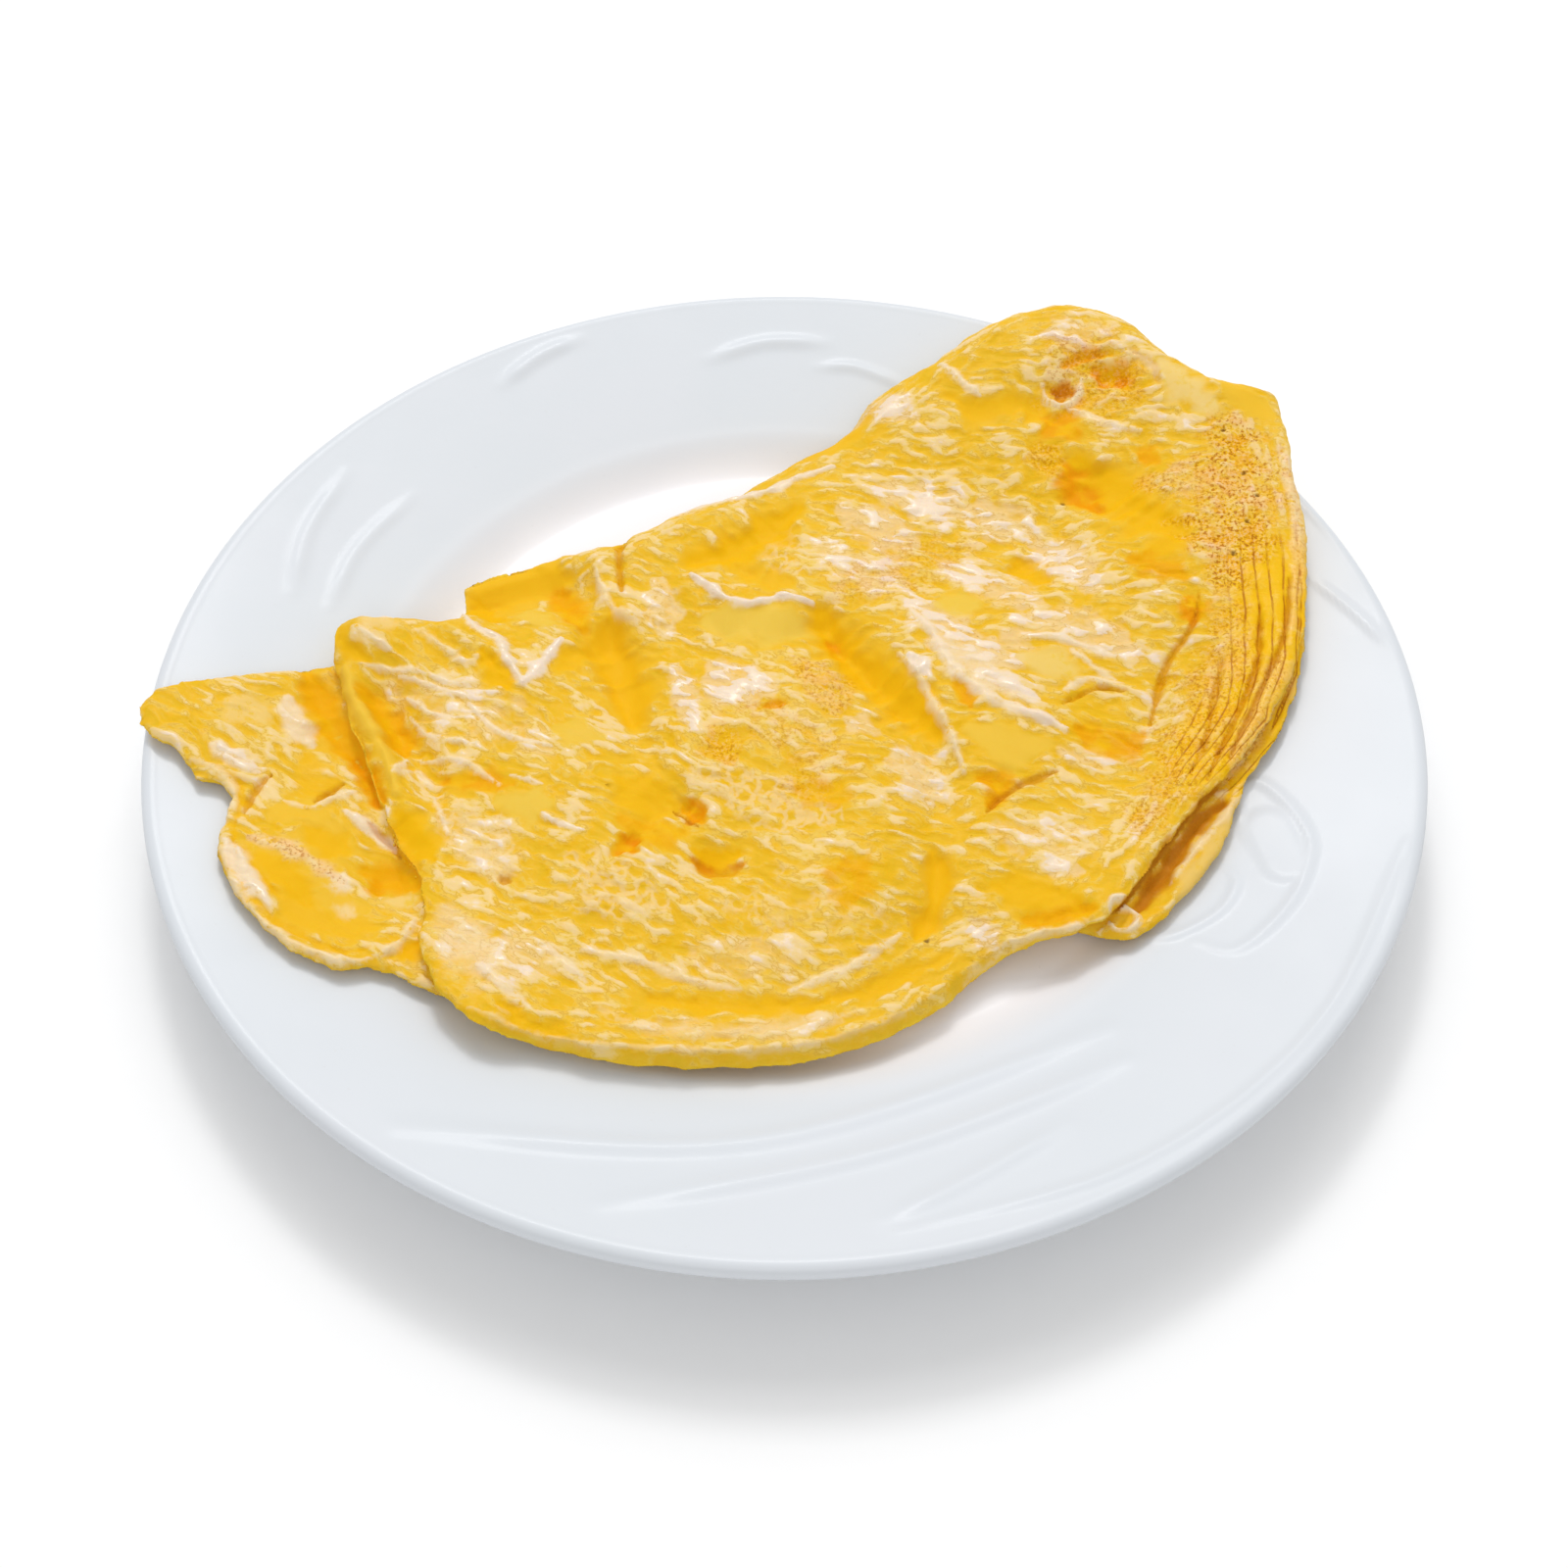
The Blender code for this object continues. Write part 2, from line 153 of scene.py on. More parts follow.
# Each pressed line of the rim: its path in plan, its half width and its height.
RIM_LINES = [
    ([(-68, -101), (-5, -101), (60, -77)], 2.0, 0.7),
    ([(-31, -116), (18, -103.5), (62, -85)], 1.9, 0.7),
    ([(17, -119), (33, -110), (50, -99)], 1.7, 0.55),
    ([(19, -121.5), (62, -108), (97, -80), (121, -38)], 0.9, 0.45),
    ([(78, -57), (86, -60), (97, -50), (103, -37), (101, -26), (96, -18), (92, -20), (91, -29), (93, -38)],
     0.9, 0.5),
    ([(86, -38), (88, -43), (84, -50), (75, -55), (68, -55)], 0.8, 0.45),
    ([(114, 35), (121, 24), (126, 14)], 0.9, 0.45),
    ([(113, 59), (119, 49), (124, 39)], 0.8, 0.4),
    ([(-66, 99), (-58, 108), (-49, 114)], 1.6, 0.6),
    ([(-18, 110), (-5, 115), (10, 115)], 1.6, 0.55),
    ([(8, 108), (17, 107.5), (28, 102)], 1.3, 0.5),
    ([(-106, 33), (-105, 50), (-99, 68)], 1.5, 0.4),
    ([(-98, 30), (-94, 47), (-84, 64)], 1.5, 0.4),
]
LEAF_MIDDLE = ((98, -40), (96, -30))  # the looped leaf stands a little proud inside its line
LEAF_WIDTH = 5.5
LEAF_HEIGHT = 0.35
LINE_TAPER = 0.25  # the share of a line's length over which each of its ends dies away
LINE_END = 0.25  # the share of its height that it keeps there

bpy.ops.object.select_all(action="DESELECT")
rings = plate_rings()
bpy.ops.mesh.primitive_circle_add(vertices=PLATE_STEPS, radius=rings[0][0] * MM, fill_type="NGON",
                                  location=(0, 0, rings[0][1] * MM))
plate = bpy.context.object
plate.name = "dinner_plate"
bpy.ops.object.mode_set(mode="EDIT")
bpy.ops.mesh.select_all(action="SELECT")
bpy.ops.mesh.delete(type="ONLY_FACE")
bpy.ops.mesh.select_all(action="SELECT")
for (r, z), (next_r, next_z) in zip(rings, rings[1:]):
    bpy.ops.mesh.extrude_edges_move(TRANSFORM_OT_translate={"value": (0, 0, (next_z - z) * MM)})
    bpy.ops.transform.resize(value=(next_r / r, next_r / r, 1), center_override=(0, 0, next_z * MM))
bpy.ops.mesh.select_all(action="SELECT")
bpy.ops.mesh.fill_holes(sides=0)
bpy.ops.mesh.normals_make_consistent(inside=False)
bpy.ops.object.mode_set(mode="OBJECT")
bpy.ops.object.transform_apply(location=True, rotation=True, scale=True)

places = vertices_of(plate)
reach = np.hypot(places[:, 0], places[:, 1])
on_top = places[:, 2] > plate_top(reach) - 1
# The relief dies away toward the well and just before the rounded edge.
on_rim = on_top * ease((reach - WELL_RADIUS) / 6) * ease((PLATE_RADIUS - 1.0 - reach) / 2)
relief = np.zeros(len(places))
for path, half_width, height in RIM_LINES:
    line = smooth_path(path)
    away, station = distance_to(places[:, :2], line)
    length = np.linalg.norm(np.diff(line, axis=0), axis=1).sum()
    taper = ease(station / (LINE_TAPER * length)) * ease((length - station) / (LINE_TAPER * length))
    crest = height * (LINE_END + (1 - LINE_END) * taper)
    relief = np.maximum(relief, crest * np.exp(-(away / half_width) ** 2))
away, station = distance_to(places[:, :2], LEAF_MIDDLE)
relief = np.maximum(relief, LEAF_HEIGHT * ease((LEAF_WIDTH - away) / 2))
places[:, 2] += relief * on_rim
move_vertices(plate, places)
bpy.ops.object.shade_smooth_by_angle(angle=math.radians(50))


class Wire:
    """An output of a material's node, which Python's operators turn into Math nodes."""

    def __init__(self, tree, socket):
        self.tree, self.socket = tree, socket

    def node(self, kind, settings=(), sockets=(), output=0):
        """Adds a node, gives it settings and then its sockets' values or links, and returns an output."""
        node = self.tree.nodes.new("ShaderNode" + kind)
        for name, value in dict(settings).items():
            setattr(node, name, value)
        for name, value in dict(sockets).items():
            if isinstance(value, Wire):
                self.tree.links.new(value.socket, node.inputs[name])
            else:
                node.inputs[name].default_value = value
        return Wire(self.tree, node.outputs[output])

    def maths(self, operation, *values):
        """A Math node on this and other values."""
        return self.node("Math", {"operation": operation}, enumerate([self, *values]))

    def __add__(self, other):
        return self.maths("ADD", other)

    def __mul__(self, other):
        return self.maths("MULTIPLY", other)

    def __sub__(self, other):
        return self.maths("SUBTRACT", other)

    def __rsub__(self, other):
        return self * -1 + other

    __radd__ = __add__
    __rmul__ = __mul__

    def limited(self, low, high):
        """0 on low's side and 1 on high's side, with a soft step between. Low may be the larger one."""
        return self.node("MapRange", {"interpolation_type": "SMOOTHSTEP"},
                         {"Value": self, "From Min": low, "From Max": high})

    def coloured(self, share, colour):
        """This colour, turned into another by a share from 0 to 1."""
        return self.node("Mix", {"data_type": "RGBA"}, {0: share, 6: self, 7: (*colour, 1)}, 2)

    def bent(self, size, reach):
        """This place, moved about by up to half of a reach in clouds of a size, both in millimetres."""
        cloud = self.node("TexNoise", {}, {"Vector": self, "Scale": 1 / (size * MM), "Detail": 2.0}, 1)
        sockets = {0: cloud, 1: (reach * MM,) * 3, 2: self}
        return self.node("VectorMath", {"operation": "MULTIPLY_ADD"}, sockets)

    def noise(self, size, detail=3.0, roughness=0.5):
        """Cloudy values from 0 to 1 with clouds about this many millimetres across."""
        sockets = {"Vector": self, "Scale": 1 / (size * MM), "Detail": detail, "Roughness": roughness}
        return self.node("TexNoise", {}, sockets)


def new_material(name):
    """A material, its Principled shader, and a wire that carries the place on the object."""
    material = bpy.data.materials.new(name)
    material.use_nodes = True
    tree = material.node_tree
    shader = tree.nodes["Principled BSDF"]
    place = tree.nodes.new("ShaderNodeTexCoord")
    return material, shader, Wire(tree, place.outputs["Object"])


def connect(wire, shader, socket):
    """Feeds a shader's socket from a wire."""
    wire.tree.links.new(wire.socket, shader.inputs[socket])


def connect_relief(height, depth, strength, shader):
    """Feeds a shader's Normal from a bump of a depth in millimetres."""
    sockets = {"Strength": strength, "Distance": depth * MM, "Height": height}
    connect(height.node("Bump", {}, sockets), shader, "Normal")


def flat_colour(wire, colour):
    """A wire that carries one colour."""
    made = wire.node("RGB")
    made.socket.default_value = (*colour, 1)
    return made


WELL_PAINTED_LIGHTER = (0.86, 0.85, 0.88)
RIM_PAINTED_SHADE = (0.665, 0.695, 0.73)
CLOUD_WHITE = (0.70, 0.71, 0.75)
SPECK_GREY = (0.55, 0.53, 0.5)

glaze, shader, place = new_material("clear_glazed_porcelain")
in_plan = place.node("VectorMath", {"operation": "MULTIPLY"}, {0: place, 1: (1, 1, 0)})
from_middle = place.node("VectorMath", {"operation": "LENGTH"}, {0: in_plan}, 1)
on_the_rim = from_middle.limited(WELL_RADIUS * MM, (SHOULDER_RADIUS + 4) * MM)
cloud = place.noise(35, 2)
speck = place.noise(0.9, 1).limited(0.74, 0.8)
# The rim is painted greyer than the well: painted shade on the rim and painted light on the upward-facing
# well.
colour = flat_colour(place, WELL_PAINTED_LIGHTER).coloured(on_the_rim, RIM_PAINTED_SHADE)
colour = colour.coloured(cloud.limited(0.35, 0.75) * 0.25, CLOUD_WHITE)
colour = colour.coloured(speck * 0.12, SPECK_GREY)
connect(colour, shader, "Base Color")
connect(0.3 + place.noise(12, 3) * 0.16, shader, "Roughness")
shader.inputs["Specular IOR Level"].default_value = 0.12
shader.inputs["Coat Weight"].default_value = 0.05
shader.inputs["Coat Roughness"].default_value = 0.1
skin = place.noise(3.0, 2) * 0.6 + place.noise(0.8, 2) * 0.2
connect_relief(skin, 0.12, 0.25, shader)
plate.data.materials.append(glaze)
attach(plate, "root")
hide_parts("plate")


# ---------------------------------------------------------------------------------------------------------
# Omelette. One fried sheet of beaten egg, folded over on itself so that its back edge is a soft fold, and
# laid across the plate. Its upper side is a thin oily skin that has wrinkled, sunk into soft valleys and
# blistered; the lower leaf shows past it as a tongue and a lobe at the left and as a strip at the right.

WELD_DISTANCE = 0.01
FINE_VOXEL = 0.5
MOST_TRIANGLES = 190_000
NOISE_CELLS = 128  # the noises repeat after this many lumps


def change_with(piece, kind, **settings):
    """Adds a modifier with its settings and applies it."""
    bpy.ops.object.select_all(action="DESELECT")
    piece.select_set(True)
    bpy.context.view_layer.objects.active = piece
    modifier = piece.modifiers.new(kind, kind)
    for name, value in settings.items():
        setattr(modifier, name, value)
    bpy.ops.object.modifier_apply(modifier=modifier.name)


omelette = bpy.data.objects.new("folded_omelette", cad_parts["omelette"].data.copy())
bpy.context.scene.collection.objects.link(omelette)
change_with(omelette, "WELD", merge_threshold=WELD_DISTANCE * MM)
change_with(omelette, "REMESH", mode="VOXEL", voxel_size=FINE_VOXEL * MM)
change_with(omelette, "SMOOTH", factor=0.5, iterations=6)


def lumps(u, v, seed):
    """Smooth random heights, about -0.7 to 0.7, with lumps about one unit across."""
    turn = np.random.default_rng(seed).uniform(0, 2 * math.pi, (NOISE_CELLS, NOISE_CELLS))
    iu, iv = np.floor(u).astype(int), np.floor(v).astype(int)
    fu, fv = u - iu, v - iv

    def corner(du, dv):
        angle = turn[(iu + du) % NOISE_CELLS, (iv + dv) % NOISE_CELLS]
        return np.cos(angle) * (fu - du) + np.sin(angle) * (fv - dv)

    su, sv = (t * t * t * (t * (t * 6 - 15) + 10) for t in (fu, fv))
    near = corner(0, 0) * (1 - su) + corner(1, 0) * su
    far = corner(0, 1) * (1 - su) + corner(1, 1) * su
    return near * (1 - sv) + far * sv


def turned(x, y, degrees):
    """Plan coordinates along and across a direction."""
    c, s = math.cos(math.radians(degrees)), math.sin(math.radians(degrees))
    return x * c + y * s, y * c - x * s


def creases(u, v, seed):
    """Sharp crests with soft troughs, from about -0.4 to 1."""
    return 1 - 2.2 * np.abs(lumps(u, v, seed))


def strokes(u, v, seed):
    """Long low wrinkles with short ones among them, about -0.5 to 0.5, for a place in millimetres."""
    wide = 0.5 * lumps(u / 13.0, v / 4.5, seed + 50)
    return wide + 0.8 * lumps(u / 6.0, v / 1.9, seed) + 0.5 * lumps(u / 2.8, v / 1.1, seed + 1)


def bubbles(u, v, seed):
    """A net of small blisters: 0 on its walls and about 0.5 in the middle of each."""
    shift = np.random.default_rng(seed).uniform(0.1, 0.9, (2, NOISE_CELLS, NOISE_CELLS))
    iu, iv = np.floor(u).astype(int), np.floor(v).astype(int)
    first = np.full(len(u), 9.0)
    second = np.full(len(u), 9.0)
    for du in (-1, 0, 1):
        for dv in (-1, 0, 1):
            cell = (iu + du) % NOISE_CELLS, (iv + dv) % NOISE_CELLS
            away = np.hypot(iu + du + shift[0][cell] - u, iv + dv + shift[1][cell] - v)
            second = np.minimum(second, np.maximum(first, away))
            first = np.minimum(first, away)
    return second - first


# The skin's finishes: deep amber, pale crests (partly pale egg streaks, partly painted highlight), browned
# lines (with painted shade where the flap's edge overhangs), smooth film, oily gloss with a painted sheen,
# dark specks, peppercorns, a lace of blisters and orange stains.
FINISHES = ("deep", "pale", "brown", "film", "shine", "speck", "pepper", "lace", "stain")
DEEP, WHITISH_STREAKS_AND_PAINTED_HIGHLIGHTS, BROWNING_AND_SHADE, FILM, GLOSS_AND_PAINTED_GLINT, SPECK, PEPPER, LACE, STAIN = range(len(FINISHES))

# Each mark of the skin, by name: its path in plan, its half width, its height, and how much it shows of
# which finishes. A mark's place in the order below gives its raggedness, so new ones go at the very end.
# First the valleys, pits, cracks and grooves, which lie low.
HOLLOWS = {
    "tongue gully": ([(-100, 9), (-95, -1), (-90, -9), (-86, -14)], 3.6, -1.6,
                     {DEEP: 1.0, FILM: 0.8, STAIN: 0.3}),
    "tongue gully end": ([(-87, -13), (-83, -20), (-80, -26)], 2.0, -1.0,
                         {DEEP: 1.0, STAIN: 0.7, FILM: 0.6}),
    "second gully": ([(-87, 2), (-83, -2), (-79, -8), (-77, -12)], 2.8, -1.4,
                     {DEEP: 1.0, FILM: 0.6, STAIN: 0.3}),
    "corner shade": ([(-94, 18), (-91, 12), (-86, 9)], 2.2, -0.5, {DEEP: 0.9, FILM: 0.6}),
    "corner field": ([(-82, 27), (-76, 25), (-70, 27)], 3.0, -0.3, {DEEP: 0.5}),
    "back pocket": ([(-66, 31), (-56, 37), (-47, 37)], 5.5, -1.4, {DEEP: 0.9, FILM: 1.0}),
    "pocket left": ([(-66, 31), (-63, 26), (-60, 24)], 3.0, -0.8, {DEEP: 1.0, FILM: 0.8}),
    "pocket dark": ([(-49, 34), (-46, 28), (-43, 22)], 3.6, -1.0, {DEEP: 1.0, STAIN: 0.5, FILM: 0.8}),
    "side slot": ([(-35, 54), (-36, 42), (-35, 31)], 1.0, -1.5, {DEEP: 0.9, BROWNING_AND_SHADE: 0.4}),
    "left valley": ([(-36, 26), (-37, 16), (-33, 8), (-31, -3)], 5.6, -1.6, {DEEP: 0.95, FILM: 1.0}),
    "valley arm": ([(-37, 18), (-43, 14), (-47, 9)], 2.8, -0.5, {DEEP: 0.9, FILM: 0.8}),
    "back hollow": ([(-20, 41), (-12, 43), (-4, 49), (3, 56)], 5.4, -1.8, {DEEP: 1.0, FILM: 0.9}),
    "behind the patch": ([(-9, 38), (-5, 34), (1, 33)], 4.2, -0.9, {DEEP: 0.8, FILM: 0.9}),
    "middle valley": ([(8, 25), (12, 16), (18, 8), (25, 0), (31, -9)], 5.4, -1.8, {DEEP: 1.0, FILM: 1.0}),
    "valley head": ([(9, 19), (12, 15)], 1.6, -0.5, {DEEP: 0.8, STAIN: 0.8}),
    "orange pocket": ([(35, 4), (37, 0), (38, -3)], 2.2, -0.7, {DEEP: 0.9, FILM: 0.5, STAIN: 0.5}),
    "left field": ([(-33, -21), (-28, -25), (-22, -27)], 4.8, -1.1, {DEEP: 0.9, FILM: 0.6}),
    "orange pit": ([(-20, -26), (-18, -28.5), (-16.5, -30.5)], 2.3, -1.4,
                   {DEEP: 1.0, STAIN: 1.0, FILM: 0.8}),
    "pit rim": ([(-22, -28), (-19.5, -30), (-17, -32.5)], 0.6, -0.5, {DEEP: 1.0, BROWNING_AND_SHADE: 0.8}),
    "small pit": ([(-32, -36), (-29.5, -39)], 2.8, -1.4, {DEEP: 1.0, STAIN: 1.0, FILM: 0.8}),
    "pit row": ([(-32, -32), (-26, -35), (-20, -34)], 3.4, -0.5, {DEEP: 0.9, STAIN: 0.3, FILM: 0.4}),
    "crescent pit": ([(-18, -40), (-13, -42.5), (-8, -41)], 1.1, -0.9,
                     {DEEP: 0.9, STAIN: 0.8, BROWNING_AND_SHADE: 0.3}),
    "crescent floor": ([(-17, -38), (-13, -39.5), (-9, -38)], 2.6, -0.7, {DEEP: 1.0, FILM: 0.7}),
    "dark nick": ([(-55, -45), (-53, -46)], 0.8, -0.8, {DEEP: 0.7, BROWNING_AND_SHADE: 0.5}),
    "right dip": ([(66, 68), (72, 60), (79, 50), (86, 44)], 6.0, -1.7, {DEEP: 1.0, FILM: 1.0}),
    "right dip deep": ([(63, 67), (66, 61), (69, 56)], 3.8, -0.9, {DEEP: 1.0, STAIN: 0.8}),
    "dip end": ([(78, 38), (86, 42)], 3.4, -0.4, {DEEP: 1.0, FILM: 0.8}),
    "dip spot": ([(80, 69), (83, 66)], 3.0, -0.7, {DEEP: 1.0, STAIN: 0.5, FILM: 0.6}),
    "upper dip": ([(38, 87), (44, 83), (54, 84), (61, 80)], 3.6, -0.9, {DEEP: 0.9, FILM: 0.9}),
    "upper dip deep": ([(60, 80), (65, 75)], 4.6, -0.8, {DEEP: 1.0, STAIN: 0.6, FILM: 0.7}),
    "crater": ([(62, 88), (65, 87)], 2.1, -1.7, {DEEP: 0.8, STAIN: 1.0, BROWNING_AND_SHADE: 0.4}),
    "crater side": ([(71, 91), (75, 90), (78, 88)], 2.5, -1.3, {DEEP: 1.0, STAIN: 1.0}),
    "crater groove": ([(64, 93), (69, 95), (75, 95)], 1.5, -0.8, {DEEP: 0.9, STAIN: 0.7}),
    "end groove": ([(80, 95), (84, 91), (85, 86)], 0.8, -0.7, {DEEP: 0.5, BROWNING_AND_SHADE: 0.2}),
    "lower dent": ([(51, 42), (53, 38), (57, 35)], 2.8, -1.2, {DEEP: 0.9, FILM: 0.5}),
    "shoulder crack": ([(88, 27), (86, 19), (81, 12), (78, 5), (75, -5)], 0.65, -1.0,
                       {DEEP: 0.9, BROWNING_AND_SHADE: 0.45}),
    "shoulder stain": ([(86, 25), (86, 19)], 2.6, -0.3, {DEEP: 1.0, STAIN: 0.9}),
    "middle crack": ([(57, -1), (61, 2), (66, 4), (71, 3)], 0.65, -1.0, {DEEP: 0.8, BROWNING_AND_SHADE: 0.4}),
    "crack stain": ([(60, -7), (67, -10), (73, -8)], 3.0, -0.2, {DEEP: 0.9, STAIN: 0.5}),
    "dip left": ([(57, 72), (60, 66)], 3.6, -0.6, {DEEP: 0.8, SPECK: 0.5}),
    "dip foot": ([(75, 37), (81, 34), (85, 31)], 3.2, -0.4, {DEEP: 1.0, STAIN: 0.4}),
    "field stain": ([(3, -24), (12, -26)], 3.4, -0.4, {DEEP: 0.8, STAIN: 0.3}),
    "field gold": ([(-14, -9), (-11, -17)], 4.2, -0.4, {DEEP: 0.6, SPECK: 0.6}),
    "brown nick": ([(-4, -2.5), (0, -2)], 1.0, -0.5, {DEEP: 0.8, STAIN: 0.9}),
    "front recess": ([(39, -20), (43, -22), (41, -27)], 3.0, -1.0, {DEEP: 0.9, STAIN: 0.5}),
    "recess crack": ([(40, -29), (43, -25), (49, -21), (55, -18)], 0.65, -0.9, {DEEP: 0.8, BROWNING_AND_SHADE: 0.6}),
    "front valley": ([(29, -38), (30, -44), (28, -51), (25, -57)], 2.6, -1.4, {DEEP: 0.95, FILM: 0.9}),
    "front stain": ([(9, -45), (16, -48)], 4.5, -0.2, {DEEP: 0.8, STAIN: 0.3}),
    "front pool": ([(40, -46), (48, -48), (56, -50)], 3.4, -0.5, {DEEP: 0.9, FILM: 0.6}),
    "band crease": ([(-25, -72), (-12, -73.5), (2, -73), (8, -72)], 2.0, -0.9, {DEEP: 0.85, FILM: 0.4}),
    "band crease right": ([(8, -71), (16, -69), (24, -65), (31, -61)], 1.9, -0.8, {DEEP: 0.8, FILM: 0.4}),
    "band crease left": ([(-52, -76), (-46, -80), (-38, -80.5)], 1.5, -0.6, {DEEP: 0.7}),
    "lip hollow": ([(46, -54), (53, -54), (59, -52)], 1.9, -0.8, {DEEP: 1.0, STAIN: 0.4}),
    "tongue floor": ([(-96, -14), (-94, -22), (-90, -20)], 3.0, -0.3, {DEEP: 0.7, FILM: 0.3}),
    "lobe hollow": ([(-93, -34), (-90, -36), (-86, -38)], 3.8, -0.6, {DEEP: 0.95, FILM: 0.9}),
    "lobe deep": ([(-82, -42), (-76, -43), (-71, -46)], 3.4, -1.0, {DEEP: 1.0, FILM: 0.8, STAIN: 0.3}),
    "lobe floor": ([(-97, -50), (-88, -56), (-78, -57)], 4.0, -0.4, {DEEP: 0.75, FILM: 0.6}),
    "lobe left": ([(-104.3, -40.3), (-100, -47), (-96.5, -51)], 0.9, -0.5, {DEEP: 0.9}),
    "lower sheet": ([(-72, -63), (-69, -60)], 2.2, -0.5, {DEEP: 1.0, FILM: 0.6}),
    "flap recess": ([(-76, -30), (-72, -36), (-68, -41)], 3.6, -1.0, {DEEP: 1.0, FILM: 0.9}),
    "flap orange": ([(-68, -20), (-62, -21), (-54, -22)], 2.4, -0.7, {DEEP: 0.9, STAIN: 0.5, FILM: 0.6}),
    "ridge gully": ([(-63, 12), (-60, 7), (-57, 2)], 2.2, -1.2, {DEEP: 1.0, FILM: 0.6}),
    "back band": ([(-10, 66), (4, 74), (15, 79), (19, 84)], 2.4, -0.4, {DEEP: 0.8, FILM: 0.7}),
    "tongue line": ([(-102.5, -20), (-105, -25), (-106, -31)], 0.65, -1.0, {DEEP: 0.7, BROWNING_AND_SHADE: 0.4}),
    # A painted shadow of the flap's edge, cast on the lobe.
    "flap edge shadow": ([(-82, -30.3), (-78.4, -34.3), (-75, -38.2)], 0.65, -0.8, {DEEP: 0.6, BROWNING_AND_SHADE: 0.6}),
    "fold crease": ([(-101, 14), (-96, 14), (-94, 12)], 0.65, -0.7, {DEEP: 0.6, BROWNING_AND_SHADE: 0.4}),
    "inner layer": ([(91, 9), (88, -1), (85, -12), (81, -20)], 0.65, -0.9, {DEEP: 0.7, BROWNING_AND_SHADE: 0.4}),
    "middle layer": ([(100, 22), (98, 8), (93, -4), (88, -14), (84, -22)], 0.65, -1.2,
                     {DEEP: 0.8, BROWNING_AND_SHADE: 0.55}),
    "outer layer": ([(107, 29), (104, 14), (98, 1), (93, -9), (89, -17)], 0.65, -1.1,
                    {DEEP: 0.9, BROWNING_AND_SHADE: 0.7}),
    # Painted shade under the flap's lip, on the lower leaf, with some browning.
    "shade under the flap": ([(68, -50), (73.5, -42), (78, -35), (83, -28.5), (87.5, -25)], 1.7, -1.1,
                       {DEEP: 0.8, STAIN: 0.4, BROWNING_AND_SHADE: 1.0}),
    "tongue rim groove": ([(-113, -20), (-109, -23), (-107, -28), (-107.5, -36)], 0.8, -0.4, {DEEP: 0.8}),
    "lobe rim groove": ([(-107, -36), (-106, -44), (-101, -52), (-95, -58), (-84, -63),
                         (-78, -62)], 0.9, -0.5, {DEEP: 0.8}),
}
